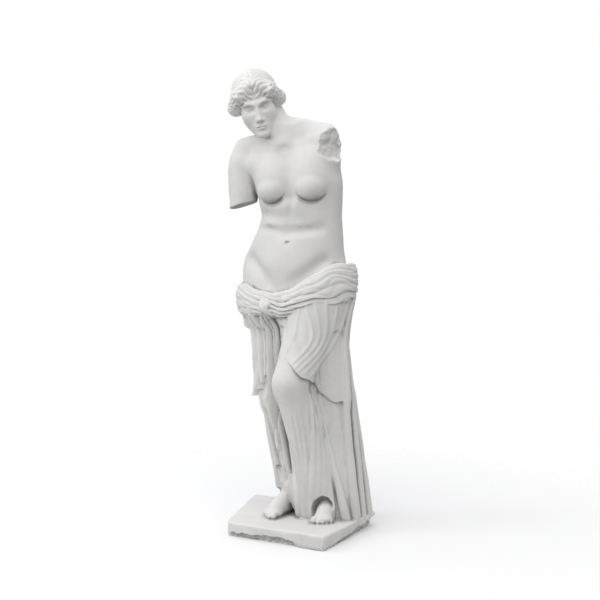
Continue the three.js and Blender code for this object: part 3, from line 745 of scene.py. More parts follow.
def mantle(p):
    """The mantle with its folds, bunches, roll and knot, lifted over the feet."""
    bearing = bearing_of(p)
    d = both(cloth(p), p[:, 2] - round_body(ROLL, bearing) - MANTLE_ABOVE_ROLL, 20)
    d = add_lines(p, d, FOLDS, FOLD_SOFT)
    d = add_lines(p, d, GROOVES, GROOVE_SOFT, carve)
    for tail in TAILS:
        d = add_tail(p, bearing, d, tail)
    if p[:, 2].max() > ROLL_LOW and p[:, 2].min() < ROLL_HIGH:
        d = blend(d, roll(p, bearing), 3)
        d = blend(d, egg(p, KNOT_AT, np.array(KNOT["size"]) * 0.8), 6)
        d = add_lines(p, d, KNOT_STRANDS, 4)
    away = (p[:, :2] - HEM["at"]) / HEM["spread"]
    lift = HEM["lift"] * np.exp(-(away[:, 0] ** 2 + away[:, 1] ** 2))
    hem = HEM["height"] + lift + 5 * np.sin(p[:, 0] / 17) - p[:, 2]
    d = both(d, hem, 6)
    if p[:, 2].min() < HOLLOWS_BELOW:
        sway = 5 * np.sin(p[:, 2] / 15), 4 * np.sin(p[:, 2] / 21), 7 * np.sin(p[:, 0] / 13)
        d = add_forms(p + np.stack(sway, 1).astype(np.float32), d, HOLLOWS, carve)
        for side in block_sides(p + PLINTH_MIDDLE):
            d = both(d, side - MANTLE_BEYOND_PLINTH, 12)
    return d


# Feet, each in its own frame: toes at the origin, heel on the +Y axis
RIGHT_FOOT = {"heel": [-72, 90], "toes": [-100, -118], "inner": 1}
LEFT_FOOT = {"heel": [104, 100], "toes": [150, -92], "inner": -1}
FOOT_FORMS = {
    "sole": limb_form([[0, 190, 36], [0, 66, 30]], [33, 32], 20),
    "ball": egg_form([0, 44, 16], [43, 36, 20], 20),
    "instep": limb_form([[0, 190, 90], [2, 90, 50]], [36, 30], 30),
    "shin": limb_form([[0, 176, 96], [0, 150, 250]], [38, 42], 24),
    "ankle bone": egg_form([34, 172, 84], [10, 13, 13], 10, PAIR),
}
TOES = [(31, 0, 13), (10, 0, 9.5), (-7.5, 8, 9), (-23.5, 19, 8.5), (-38, 32, 8)]


def foot(p, place):
    """One bare foot with its toes."""
    heel, toes = np.array(place["heel"], float), np.array(place["toes"], float)
    out = math.atan2(toes[0] - heel[0], heel[1] - toes[1])
    x, y = p[:, 0] - toes[0], p[:, 1] - toes[1]
    q = np.stack([math.cos(out) * x + math.sin(out) * y, math.cos(out) * y - math.sin(out) * x, p[:, 2]], 1)
    d = add_forms(q, np.full(len(p), 1e3, np.float32), FOOT_FORMS)
    for side, tip, r in TOES:
        side = side * place["inner"]
        toe = limb(q, [side, tip - 4 + r, r - 1], [side, tip + 16, r + 6], r, r * 0.86)
        toe = blend(toe, limb(q, [side, tip + 16, r + 6], [side * 0.8, tip + 46, 17], r * 0.86, r * 1.1), 4)
        d = blend(d, toe, 2)
    return d


# Plinth: an uneven slab. Seen from the front, its front and right edges are broken away underneath
RIGHT_EDGE = PLINTH_BACK_WIDTH / 2
FRONT_LEFT = RIGHT_EDGE - PLINTH_FRONT_WIDTH
OUTLINE = [
    [FRONT_LEFT + PLINTH_CORNER_CHAMFER, -PLINTH_DEPTH / 2],
    [RIGHT_EDGE, -PLINTH_DEPTH / 2],
    [RIGHT_EDGE, PLINTH_DEPTH / 2],
    [-RIGHT_EDGE, PLINTH_DEPTH / 2],
    [FRONT_LEFT - PLINTH_CORNER_CHAMFER / 2, -PLINTH_DEPTH / 2 + PLINTH_CORNER_CHAMFER],
]
FRONT_BREAK = np.array([[-180, 15, 14], [-60, 20, 20], [60, 27, 22], [170, 25, 20], [192, 6, 4],
                        [206, 0.5, 0.5]])
SIDE_BREAK = np.array([[-250, 3, 3], [-140, 9, 8], [0, 21, 17], [150, 36, 30], [250, 46, 38]])
BROKEN_CORNER = ([RIGHT_EDGE - 11, PLINTH_DEPTH / 2 - 11, 0], [math.sqrt(0.5), math.sqrt(0.5), 0])


def notch(along, up, inwards, table):
    """A break out of a lower edge, as high and as deep as a table says along it."""
    high, deep = (np.interp(along, table[:, 0], table[:, n]) for n in (1, 2))
    sides = (np.maximum(up, 0) / high) ** 2.5 + (np.maximum(inwards, 0) / deep) ** 2.5
    return (sides ** (1 / 2.5) - 1) * np.minimum(high, deep)


def plinth(p):
    """The slab, with its broken edges and its flat underside."""
    q = p + PLINTH_MIDDLE
    grain = rough(q, 46, 31)
    d = np.full(len(q), -1e3, np.float32)
    for side in block_sides(q):
        d = both(d, side + 3.5 * grain + 3, 12)
    d = both(d, beyond(q, *BROKEN_CORNER) + 3 * grain, 8)
    d = both(d, q[:, 2] - PLINTH_THICKNESS + 1.2 * lattice_noise(q, 70, 8), 9)
    chips = 4.5 * rough(q, 24, 44) + 1.5 * lattice_noise(q, 8, 45)
    d = carve(d, notch(q[:, 0], q[:, 2], q[:, 1] + PLINTH_DEPTH / 2, FRONT_BREAK) + chips, 2.5)
    d = carve(d, notch(q[:, 1], q[:, 2], RIGHT_EDGE - q[:, 0], SIDE_BREAK) + chips, 2.5)
    return both(d, -q[:, 2], 0.5)


PIT_COUNT, PIT_LOW, PIT_HIGH, PIT_SMALL, PIT_LARGE = 12, 120, 1480, 2, 4.5


def make_pits():
    """Small pits and nicks scattered over the figure, and a crack low on the left side."""
    bearing = seeded.uniform(0, 360, PIT_COUNT)
    height = seeded.uniform(PIT_LOW, PIT_HIGH, PIT_COUNT)
    places = on_mantle(bearing, height, 1.5)
    size = seeded.uniform(PIT_SMALL, PIT_LARGE, PIT_COUNT)
    pits = [line_of([q, q + [0, 0, 2]], [r, r * 0.7]) for q, r in zip(places, size)]
    crack = on_mantle([66, 62, 64, 72, 80], [196, 168, 132, 108, 104], 1)
    return pits, [line_of(crack, [2.4, 2.6, 2.2, 2.4, 1.8])]


PITS, CRACK = make_pits()


# Heights between which each part of the figure is worked out
TORSO_ABOVE, NECK_ABOVE = 900, 1540
MANTLE_BELOW, FEET_BELOW, PLINTH_BELOW = 1160, 330, 40


def figure(p):
    """The whole statue as one body."""
    low, high = p.min(0), p.max(0)
    d = np.full(len(p), 1e3, np.float32)
    if high[2] > TORSO_ABOVE:
        d = torso(p)
        if high[2] > NECK_ABOVE:
            d = add_forms(p, d, NECK)
            if is_near(HEAD_BOX, low, high, 0):
                d = blend(d, head(p), 8)
    if low[2] < MANTLE_BELOW:
        d = np.minimum(d, mantle(p))
    if low[2] < FEET_BELOW:
        d = np.minimum(d, foot(p, RIGHT_FOOT))
        d = np.minimum(d, foot(p, LEFT_FOOT))
    d = add_lines(p, d, PITS, 3, carve)
    d = add_lines(p, d, CRACK, 2, carve)
    if low[2] < PLINTH_BELOW:
        d = blend(d, plinth(p), 5)
    return d


# Sampling and meshing

CELL = 16
FAR = 60.0
COARSE_CAUTION = 1.6
COARSE_SLACK = 14
WORKERS, COARSE_SHARE = 4, 400
FIGURE_LOW = np.array([-410, -290, -PLINTH_THICKNESS - 8], float)
FIGURE_HIGH = np.array([290, 290, 1975], float)


def sample(step):
    """The field on a grid, worked out only in the cells that the surface may pass through."""
    counts = np.ceil((FIGURE_HIGH - FIGURE_LOW) / (step * CELL)).astype(int)
    where = np.stack(np.meshgrid(*[np.arange(n) for n in counts], indexing="ij"), -1).reshape(-1, 3)
    corner = FIGURE_LOW + where * step * CELL
    middle = (corner + step * (CELL - 1) / 2).astype(np.float32)
    with ThreadPoolExecutor(WORKERS) as pool:
        shares = np.array_split(middle, len(middle) // COARSE_SHARE + 1)
        coarse = np.concatenate(list(pool.map(figure, shares)))
    half = step * CELL * math.sqrt(3) / 2
    grid = np.empty(counts * CELL, np.float32)
    cells = grid.reshape(counts[0], CELL, counts[1], CELL, counts[2], CELL)
    cells[:] = np.where(coarse > 0, FAR, -FAR).reshape(counts)[:, None, :, None, :, None]
    steps = np.arange(CELL) * step
    local = np.stack(np.meshgrid(steps, steps, steps, indexing="ij"), -1).reshape(-1, 3)

    def fill(n):
        d = figure((corner[n] + local).astype(np.float32))
        i, j, k = where[n]
        cells[i, :, j, :, k, :] = np.clip(d, -FAR, FAR).reshape(CELL, CELL, CELL)

    with ThreadPoolExecutor(WORKERS) as pool:
        list(pool.map(fill, np.nonzero(np.abs(coarse) < half * COARSE_CAUTION + COARSE_SLACK)[0]))
    return grid


def read_grid(grid, spacing, points):
    """The field at any points, read between the grid's samples."""
    q = np.clip((points - FIGURE_LOW) / spacing, 0, np.array(grid.shape) - 1.001)
    i = q.astype(int)
    f = q - i
    total = np.zeros(len(points))
    for step in CELL_CORNERS:
        weight = np.prod(np.where(step, f, 1 - f), axis=1)
        at = i + step
        total += weight * grid[at[:, 0], at[:, 1], at[:, 2]]
    return total


def to_row(points):
    """From the figure's millimetres to the row's metres."""
    return (points + PLINTH_MIDDLE) * MM


def from_row(points):
    """From the row's metres to the figure's millimetres."""
    return points / MM - PLINTH_MIDDLE


def surface_mesh(name, grid, step):
    """The grid's zero surface as a mesh in metres, with its faces pointing out."""
    volume = openvdb.FloatGrid(FAR)
    volume.copyFromArray(grid)
    points, triangles, quads = volume.convertToPolygons(isovalue=0.0, adaptivity=0.0)
    points = to_row(points.astype(float) * step + FIGURE_LOW)
    halves = np.concatenate([quads[:, [0, 1, 2]], quads[:, [0, 2, 3]]])
    faces = np.concatenate([triangles, halves]).astype(int)
    a, b, c = (points[faces[:, n]] for n in range(3))
    if np.einsum("ij,ij->", a, np.cross(b, c)) < 0:
        faces = faces[:, ::-1]
    mesh = bpy.data.meshes.new(name)
    mesh.from_pydata(points.tolist(), [], faces.tolist())
    return mesh


def keep_largest(mesh):
    """Drops specks that the grid left beside the one solid."""
    bm = bmesh.new()
    bm.from_mesh(mesh)
    bm.verts.ensure_lookup_table()
    label = np.full(len(bm.verts), -1)
    sizes = []
    for seed in bm.verts:
        if label[seed.index] >= 0:
            continue
        label[seed.index] = len(sizes)
        stack, count = [seed], 0
        while stack:
            vert = stack.pop()
            count += 1
            for edge in vert.link_edges:
                other = edge.other_vert(vert)
                if label[other.index] < 0:
                    label[other.index] = len(sizes)
                    stack.append(other)
        sizes.append(count)
    largest = int(np.argmax(sizes))
    bmesh.ops.delete(bm, geom=[v for v in bm.verts if label[v.index] != largest], context="VERTS")
    bm.to_mesh(mesh)
    bm.free()


def vertex_array(mesh, name="co"):
    values = np.empty(len(mesh.vertices) * 3, np.float32)
    mesh.vertices.foreach_get(name, values)
    return values.reshape(-1, 3).astype(float)


def add_attribute(mesh, name, values):
    attribute = mesh.attributes.new(name, "FLOAT", "POINT")
    attribute.data.foreach_set("value", np.asarray(values, np.float32))


HOLLOW_REACHES = (5, 11, 22, 38)
EDGE_REACH = 7
# Painted shade under overhangs: how much faces that point down are darkened
UNDERSIDE_SHADE = 1.0
# Painted shade low down: heights in metres above which faces are not darkened and below which they are fully
# darkened
LOW_SHADE_NONE, LOW_SHADE_FULL = 1.0, 0.1
# Painted shade next to the floor: how much, and up to what height in metres
FLOOR_SHADE, FLOOR_SHADE_HEIGHT = 0.55, 0.035


def mark_shade_dust_and_wear(mesh, grid, step):
    """Writes how closed in and how sharp each place is, with painted shade added under overhangs and next to
    the floor, and a mask of painted shade low on faces that do not point up.
    """
    points = from_row(vertex_array(mesh))
    normals = vertex_array(mesh, "normal")
    height = vertex_array(mesh)[:, 2]
    # The mask of painted shade, with some dusting: closed-in places, faces that point down and the band next
    # to the floor
    closed = np.zeros(len(points))
    for reach in HOLLOW_REACHES:
        closed += np.clip(1 - read_grid(grid, step, points + normals * reach) / reach, 0, 1)
    facing_down = np.clip(-normals[:, 2] - 0.25, 0, 1)
    near_floor = FLOOR_SHADE * np.clip(1 - height / FLOOR_SHADE_HEIGHT, 0, 1)
    closed = closed / len(HOLLOW_REACHES) + UNDERSIDE_SHADE * facing_down + near_floor
    add_attribute(mesh, "hollow", closed)
    inside = read_grid(grid, step, points - normals * EDGE_REACH)
    add_attribute(mesh, "edge", np.clip(1 + inside / EDGE_REACH, 0, 1))
    # Painted shade low down: faces that do not point up get darker towards the floor
    low = np.clip((LOW_SHADE_NONE - height) / (LOW_SHADE_NONE - LOW_SHADE_FULL), 0, 1)
    add_attribute(mesh, "painted_low_shade", low * np.clip(1 - normals[:, 2], 0, 1))


# Node trees

def add_node(tree, kind, **values):
    node = tree.nodes.new(kind)
    for name, value in values.items():
        setattr(node, name, value)
    return node


def socket(tree, name, kind, default=None, out=False):
    """A named input or output of a group."""
    made = tree.interface.new_socket(name, in_out="OUTPUT" if out else "INPUT", socket_type=kind)
    if default is not None:
        made.default_value = default


def group_ends(tree):
    """The nodes through which a group takes its inputs and gives its outputs."""
    return add_node(tree, "NodeGroupInput"), add_node(tree, "NodeGroupOutput")


def object_place(tree):
    """Where a point lies on its object."""
    return add_node(tree, "ShaderNodeTexCoord").outputs["Object"]


def feed(tree, node, values):
    """Links or sets a node's inputs, from sockets or plain values."""
    for key, value in values.items():
        if isinstance(value, bpy.types.NodeSocket):
            tree.links.new(value, node.inputs[key])
        elif value is not None:
            node.inputs[key].default_value = value


def math_node(tree, operation, a, b=None):
    """A Math node fed by sockets or plain numbers."""
    node = add_node(tree, "ShaderNodeMath", operation=operation)
    feed(tree, node, {0: a, 1: b})
    return node.outputs[0]


def ramp_node(tree, value, low, high):
    """A Map Range node from low and high to 0 and 1, smoothed at both ends."""
    node = add_node(tree, "ShaderNodeMapRange", interpolation_type="SMOOTHSTEP")
    feed(tree, node, {"Value": value, "From Min": low, "From Max": high})
    return node.outputs[0]


def mix_colour(tree, share, a, b):
    """Colour a with a share of colour b."""
    node = add_node(tree, "ShaderNodeMix", data_type="RGBA")
    feed(tree, node, {0: share, 6: a, 7: b})
    return node.outputs[2]


def noise_node(tree, place, scale, detail=3.0, roughness=0.55):
    """Smooth noise from 0 to 1."""
    node = add_node(tree, "ShaderNodeTexNoise")
    feed(tree, node, {"Vector": place, "Scale": scale, "Detail": detail, "Roughness": roughness})
    return node.outputs[0]


def weathering_tree():
    """Moves a surface in and out by a fine relief that shows more in some areas than in others."""
    tree = bpy.data.node_groups.new("Weathered stone surface", "GeometryNodeTree")
    socket(tree, "Geometry", "NodeSocketGeometry")
    socket(tree, "Relief", "NodeSocketFloat", 0.0006)
    socket(tree, "Grain size", "NodeSocketFloat", 0.012)
    socket(tree, "Worn areas", "NodeSocketFloat", 0.11)
    socket(tree, "Seed", "NodeSocketInt", 4)
    socket(tree, "Material", "NodeSocketMaterial")
    socket(tree, "Geometry", "NodeSocketGeometry", out=True)
    given, result = group_ends(tree)
    place = add_node(tree, "GeometryNodeInputPosition").outputs[0]
    normal = add_node(tree, "GeometryNodeInputNormal").outputs[0]
    shifted = add_node(tree, "ShaderNodeVectorMath", operation="ADD")
    feed(tree, shifted, {0: place, 1: given.outputs["Seed"]})
    grain = noise_node(tree, shifted.outputs[0], math_node(tree, "DIVIDE", 1.0, given.outputs["Grain size"]))
    areas = noise_node(tree, shifted.outputs[0], math_node(tree, "DIVIDE", 1.0, given.outputs["Worn areas"]))
    grain = math_node(tree, "SUBTRACT", grain, 0.55)
    relief = math_node(tree, "MULTIPLY", grain, ramp_node(tree, areas, 0.3, 0.7))
    relief = math_node(tree, "MULTIPLY", relief, given.outputs["Relief"])
    offset = add_node(tree, "ShaderNodeVectorMath", operation="SCALE")
    feed(tree, offset, {0: normal, "Scale": relief})
    move = add_node(tree, "GeometryNodeSetPosition")
    feed(tree, move, {"Geometry": given.outputs["Geometry"], "Offset": offset.outputs[0]})
    real = add_node(tree, "GeometryNodeRealizeInstances")
    feed(tree, real, {0: move.outputs[0]})
    paint = add_node(tree, "GeometryNodeSetMaterial")
    feed(tree, paint, {"Geometry": real.outputs[0], "Material": given.outputs["Material"]})
    feed(tree, result, {0: paint.outputs[0]})
    return tree


def run_modifier(obj, modifier):
    """Turns an object's modifier into plain mesh and removes it."""
    depsgraph = bpy.context.evaluated_depsgraph_get()
    depsgraph.update()
    mesh = bpy.data.meshes.new_from_object(obj.evaluated_get(depsgraph))
    obj.modifiers.remove(modifier)
    old = obj.data
    obj.data = mesh
    bpy.data.meshes.remove(old)


# Materials

def mottling_group():
    """Soft patches between two tones of stone."""
    tree = bpy.data.node_groups.new("Stone mottling", "ShaderNodeTree")
    socket(tree, "Tone", "NodeSocketColor", (0.7, 0.7, 0.69, 1))
    socket(tree, "Other tone", "NodeSocketColor", (0.6, 0.6, 0.6, 1))
    socket(tree, "Patch size", "NodeSocketFloat", 0.15)
    socket(tree, "Colour", "NodeSocketColor", out=True)
    given, result = group_ends(tree)
    place = object_place(tree)
    size = given.outputs["Patch size"]
    broad = noise_node(tree, place, math_node(tree, "DIVIDE", 1.0, size), 4.0, 0.6)
    fine = noise_node(tree, place, math_node(tree, "DIVIDE", 9.0, size), 3.0, 0.6)
    fine = math_node(tree, "MULTIPLY", fine, 0.3)
    share = ramp_node(tree, math_node(tree, "ADD", math_node(tree, "MULTIPLY", broad, 0.7), fine), 0.38, 0.62)
    colour = mix_colour(tree, share, given.outputs["Tone"], given.outputs["Other tone"])
    tree.links.new(colour, result.inputs["Colour"])
    return tree


def painted_shade_and_dust_group():
    """A share of the dark tone that paints shade, with some dusting, where a surface is closed in or faces
    down, broken up by noise.
    """
    tree = bpy.data.node_groups.new("Dust in hollows", "ShaderNodeTree")
    socket(tree, "Hollow", "NodeSocketFloat", 0.0)
    socket(tree, "Start", "NodeSocketFloat", 0.3)
    socket(tree, "Full", "NodeSocketFloat", 0.8)
    socket(tree, "Amount", "NodeSocketFloat", 0.5)
    socket(tree, "Painted shade and dust", "NodeSocketFloat", out=True)
    given, result = group_ends(tree)
    place = object_place(tree)
    noise = math_node(tree, "SUBTRACT", noise_node(tree, place, 60.0), 0.5)
    uneven = math_node(tree, "MULTIPLY", noise, 0.35)
    hollow = math_node(tree, "ADD", given.outputs["Hollow"], uneven)
    run = math_node(tree, "SUBTRACT", given.outputs["Full"], given.outputs["Start"])
    share = math_node(tree, "DIVIDE", math_node(tree, "SUBTRACT", hollow, given.outputs["Start"]), run)
    share.node.use_clamp = True
    painted_shade_and_dust = math_node(tree, "MULTIPLY", share, given.outputs["Amount"])
    tree.links.new(painted_shade_and_dust, result.inputs["Painted shade and dust"])
    return tree


def grain_group():
    """The height of a stone's fine grain and of its scattered pin holes."""
    tree = bpy.data.node_groups.new("Stone grain", "ShaderNodeTree")
    socket(tree, "Grain size", "NodeSocketFloat", 0.002)
    socket(tree, "Pin holes", "NodeSocketFloat", 0.5)
    socket(tree, "Height", "NodeSocketFloat", out=True)
    given, result = group_ends(tree)
    place = object_place(tree)
    grain = noise_node(tree, place, math_node(tree, "DIVIDE", 1.0, given.outputs["Grain size"]), 4.0, 0.65)
    cells = add_node(tree, "ShaderNodeTexVoronoi")
    cells.inputs["Scale"].default_value = 55.0
    tree.links.new(place, cells.inputs["Vector"])
    holes = ramp_node(tree, cells.outputs["Distance"], 0.02, 0.12)
    sparse = ramp_node(tree, noise_node(tree, place, 7.0), 0.5, 0.64)
    depth = math_node(tree, "MULTIPLY", math_node(tree, "SUBTRACT", 1.0, holes), sparse)
    depth = math_node(tree, "MULTIPLY", depth, given.outputs["Pin holes"])
    tree.links.new(math_node(tree, "SUBTRACT", grain, depth), result.inputs["Height"])
    return tree


def place_group(tree, group, **values):
    node = add_node(tree, "ShaderNodeGroup", node_tree=group)
    for name, value in values.items():
        node.inputs[name.replace("_", " ")].default_value = value
    return node


def attribute_node(tree, name):
    return add_node(tree, "ShaderNodeAttribute", attribute_name=name).outputs["Fac"]


# Painted light on the head: heights in metres over which it fades in, and its share
HEAD_LIGHT_HEIGHTS, HEAD_LIGHT_SHARE = (1.56, 1.78), 0.9
WEAR_SHARE = 0.5
PLAIN_ROUGHNESS, WORN_SMOOTHER, SHADE_AND_DUST_ROUGHER = 0.66, 0.16, 0.3


def marble_material(settings):
    """Matt white marble: painted light on the head, painted shade low down, painted shade with some dusting
    in hollows and under overhangs, paler worn edges.
    """
    material = bpy.data.materials.new("Weathered marble")
    material.use_nodes = True
    tree = material.node_tree
    shader = tree.nodes["Principled BSDF"]
    tone, shade, painted_shade_and_dust = (tuple(c) + (1.0,) for c in (settings.stone, settings.stone_shade, settings.painted_shade_and_dust))
    mottled = place_group(tree, mottling_group(), Tone=tone, Other_tone=shade, Patch_size=0.16)
    painted_shade_and_dust_node = place_group(tree, painted_shade_and_dust_group(), Start=0.28, Full=0.85)
    height = add_node(tree, "ShaderNodeSeparateXYZ")
    tree.links.new(object_place(tree), height.inputs[0])
    # Painted light: the head is painted paler from 1.56 m up and keeps less of the painted shade
    head_lit = math_node(tree, "MULTIPLY", ramp_node(tree, height.outputs["Z"], *HEAD_LIGHT_HEIGHTS), HEAD_LIGHT_SHARE)
    amount = math_node(tree, "MULTIPLY", math_node(tree, "SUBTRACT", 1.0, head_lit), settings.painted_shade_and_dust_amount)
    feed(tree, painted_shade_and_dust_node, {"Amount": amount, "Hollow": attribute_node(tree, "hollow")})
    place = object_place(tree)
    patches = math_node(tree, "ADD", noise_node(tree, place, 5.0, 5.0, 0.6), 0.5)
    # Painted shade low on faces that do not point up, broken into patches
    low = math_node(tree, "MULTIPLY", math_node(tree, "MULTIPLY", attribute_node(tree, "painted_low_shade"), patches),
                    settings.painted_low_shade_amount)
    pale = mix_colour(tree, head_lit, mottled.outputs["Colour"], tuple(settings.painted_head_light) + (1.0,))
    low_shaded = mix_colour(tree, low, pale, tuple(settings.painted_low_shade) + (1.0,))
    # Painted shade with some dusting: a dark tone in closed-in places, under overhangs and next to the floor
    colour = mix_colour(tree, painted_shade_and_dust_node.outputs["Painted shade and dust"], low_shaded, painted_shade_and_dust)
    wear = math_node(tree, "MULTIPLY", ramp_node(tree, attribute_node(tree, "edge"), 0.25, 0.7), WEAR_SHARE)
    colour = mix_colour(tree, wear, colour, tuple(settings.worn_edge) + (1.0,))
    smoother = math_node(tree, "MULTIPLY", wear, WORN_SMOOTHER)
    rougher = math_node(tree, "MULTIPLY", painted_shade_and_dust_node.outputs["Painted shade and dust"], SHADE_AND_DUST_ROUGHER)
    roughness = math_node(tree, "SUBTRACT", PLAIN_ROUGHNESS, smoother)
    roughness = math_node(tree, "ADD", roughness, rougher)
    grain = place_group(tree, grain_group(), Grain_size=0.0022, Pin_holes=1.2)
    bump = add_node(tree, "ShaderNodeBump")
    feed(tree, bump, {"Strength": 0.22, "Distance": 0.0008, "Height": grain.outputs["Height"]})
    feed(tree, shader, {
        "Base Color": colour, "Roughness": roughness, "Normal": bump.outputs["Normal"],
        "Subsurface Weight": 0.12, "Subsurface Radius": (1.0, 0.85, 0.7), "Subsurface Scale": 0.004,
        "Specular IOR Level": 0.32,
    })
    return material


def floor_material(settings):
    """Plain pale floor, barely uneven in its roughness, that fades out at its rim."""
    material = bpy.data.materials.new("Pale floor")
    material.use_nodes = True
    tree = material.node_tree
    shader = tree.nodes["Principled BSDF"]
    shader.inputs["Base Color"].default_value = tuple(settings.floor) + (1.0,)
    place = object_place(tree)
    rough_share = math_node(tree, "MULTIPLY", noise_node(tree, place, 3.0), 0.2)
    tree.links.new(math_node(tree, "ADD", rough_share, 0.7), shader.inputs["Roughness"])
    away = add_node(tree, "ShaderNodeVectorMath", operation="LENGTH")
    tree.links.new(place, away.inputs[0])
    rim = ramp_node(tree, away.outputs["Value"], FLOOR_CLEAR, FLOOR_SIZE / 2)
    tree.links.new(math_node(tree, "SUBTRACT", 1.0, rim), shader.inputs["Alpha"])
    return material


# Settings

class FigureSettings(bpy.types.PropertyGroup):
    """Sizes and finish of the figure."""
    detail: bpy.props.FloatProperty(
        name="Detail", description="Distance between the samples of the carved form",
        default=0.0028, min=0.001, unit="LENGTH")
    draft_detail: bpy.props.FloatProperty(
        name="Draft detail", description="Distance between samples in a quick look",
        default=0.005, min=0.002, unit="LENGTH")
    triangles: bpy.props.IntProperty(
        name="Triangles", description="Triangles left after the surface is thinned",
        default=194000, min=10000)
    relief: bpy.props.FloatProperty(
        name="Weathering", description="Height of the worn relief on the surface",
        default=0.0011, unit="LENGTH")
    stone: bpy.props.FloatVectorProperty(
        name="Stone", description="Main tone of the marble", subtype="COLOR", default=(0.735, 0.725, 0.705))
    stone_shade: bpy.props.FloatVectorProperty(
        name="Stone shade", description="Second tone of the marble", subtype="COLOR",
        default=(0.69, 0.685, 0.672))
    worn_edge: bpy.props.FloatVectorProperty(
        name="Worn edge", description="Tone of edges that are rubbed pale", subtype="COLOR",
        default=(0.78, 0.775, 0.755))
    # Dark tone that paints shade, with some dusting, in hollows, under overhangs and next to the floor
    painted_shade_and_dust: bpy.props.FloatVectorProperty(
        name="Painted shade and dust", description="Tone of the dust in hollows", subtype="COLOR", default=(0.26, 0.26, 0.245))
    # Paler tone painted on the head as light from above
    painted_head_light: bpy.props.FloatVectorProperty(
        name="Painted light on the head", description="Paler tone painted on the head as light from above",
        subtype="COLOR", default=(0.825, 0.815, 0.8))
    # Dark tone painted low on faces that do not point up, as shade
    painted_low_shade: bpy.props.FloatVectorProperty(
        name="Painted low shade", description="Tone of the grime low on upright faces", subtype="COLOR",
        default=(0.34, 0.335, 0.325))
    # How much of the painted shade low down shows
    painted_low_shade_amount: bpy.props.FloatProperty(
        name="Grime amount", description="How much of the grime shows", default=0.5, min=0, max=1,
        subtype="FACTOR")
    # How much of the painted shade in hollows, under overhangs and next to the floor shows
    painted_shade_and_dust_amount: bpy.props.FloatProperty(
        name="Dust amount", description="How much of the dust shows", default=0.88, min=0, max=1,
        subtype="FACTOR")


class StageSettings(bpy.types.PropertyGroup):
    """Camera, floor and lights."""
    azimuth: bpy.props.FloatProperty(
        name="Azimuth", description="Bearing of the camera from straight in front",
        default=math.radians(30), subtype="ANGLE")
    distance: bpy.props.FloatProperty(
        name="Distance", description="Level distance from the camera to the figure's axis",
        default=5.0, unit="LENGTH")
    height: bpy.props.FloatProperty(
        name="Height", description="Height of the camera above the floor", default=1.35, unit="LENGTH")
    lens: bpy.props.FloatProperty(
        name="Lens", description="Focal length of the camera in millimetres", default=69.6)
    floor: bpy.props.FloatVectorProperty(
        name="Floor", description="Colour of the floor", subtype="COLOR", default=(0.9, 0.9, 0.9))
    sky: bpy.props.FloatProperty(
        name="Sky", description="Strength of the even light from all round", default=0.85, min=0)
    key_strength: bpy.props.FloatProperty(
        name="Key strength", description="Strength of the broad soft light from above", default=0.78, min=0)
    key_height: bpy.props.FloatProperty(
        name="Key height", description="Angle of the key light above the floor", default=math.radians(52),
        subtype="ANGLE")
    key_spread: bpy.props.FloatProperty(
        name="Key spread", description="Width of the key light as seen from the figure",
        default=math.radians(70), subtype="ANGLE")
    front_power: bpy.props.FloatProperty(
        name="Front power", description="Power of the soft light in front of the figure's chest", default=10,
        unit="POWER")
    fill_power: bpy.props.FloatProperty(
        name="Fill power", description="Power of the cool light on the figure's right", default=34,
        unit="POWER")


# Operators

class STATUE_OT_carve(bpy.types.Operator):
    """Carve the figure and its plinth as one closed mesh"""
    bl_idname = "statue.carve"
    bl_label = "Carve statue"

    def execute(self, context):
        settings = context.scene.statue_figure
        step = settings.detail / MM
        grid = sample(step)
        mesh = surface_mesh("Statue", grid, step)
        keep_largest(mesh)
        if not mesh.polygons:
            raise RuntimeError("the carved form has no surface")
        statue = bpy.data.objects.new("statue_marble", mesh)
        context.scene.collection.objects.link(statue)
        thin = statue.modifiers.new("Thin", "DECIMATE")
        thin.ratio = min(1.0, settings.triangles / len(mesh.polygons))
        run_modifier(statue, thin)
        weather = statue.modifiers.new("Weather", "NODES")
        weather.node_group = weathering_tree()
        values = {"Relief": settings.relief, "Material": marble_material(settings)}
        for item in weather.node_group.interface.items_tree:
            if item.name in values:
                weather[item.identifier] = values[item.name]
        run_modifier(statue, weather)
        statue.data.shade_smooth()
        mark_shade_dust_and_wear(statue.data, grid, step)
        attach(statue, "root")
        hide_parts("statue")
        return {"FINISHED"}


class STATUE_OT_stage(bpy.types.Operator):
    """Set the floor, the soft lights and the camera"""
    bl_idname = "statue.stage"
    bl_label = "Set stage"

    def execute(self, context):
        settings = context.scene.statue_stage
        set_floor(context, settings)
        set_lights(context, settings)
        set_camera(context, settings)
        return {"FINISHED"}


FLOOR_SIZE = 4.4
FLOOR_CLEAR = 0.8
SKY_DARK_BELOW, SKY_FULL_ABOVE = -0.3, 0.25
KEY_BEARING = math.radians(8)
KEY_DISTANCE = 5
CHEST = Vector((0, 0, 1.6))
SOFT_LIGHT_SIZE = 1.8
SOFT_LIGHTS = {
    "Front": ((0.9, -2.9, 2.9), (1.0, 0.985, 0.95)),
    "Fill": ((-2.6, -2.3, 2.2), (0.96, 0.98, 1.0)),
}
FRAME_PIXELS = 600
CAMERA_SHIFT_PIXELS = 2.13


def set_floor(context, settings):
    """A plain pale floor under the figure."""
    bpy.ops.mesh.primitive_plane_add(size=FLOOR_SIZE)
    floor = context.object
    floor.name = "floor"
    floor.data.materials.append(floor_material(settings))


def add_light(context, name, kind, place, aim, strength, colour):
    data = bpy.data.lights.new(name, kind)
    data.energy = strength
    data.color = colour
    light = bpy.data.objects.new(name, data)
    light.location = place
    light.rotation_euler = (aim - place).to_track_quat("-Z", "Y").to_euler()
    context.scene.collection.objects.link(light)
    return data


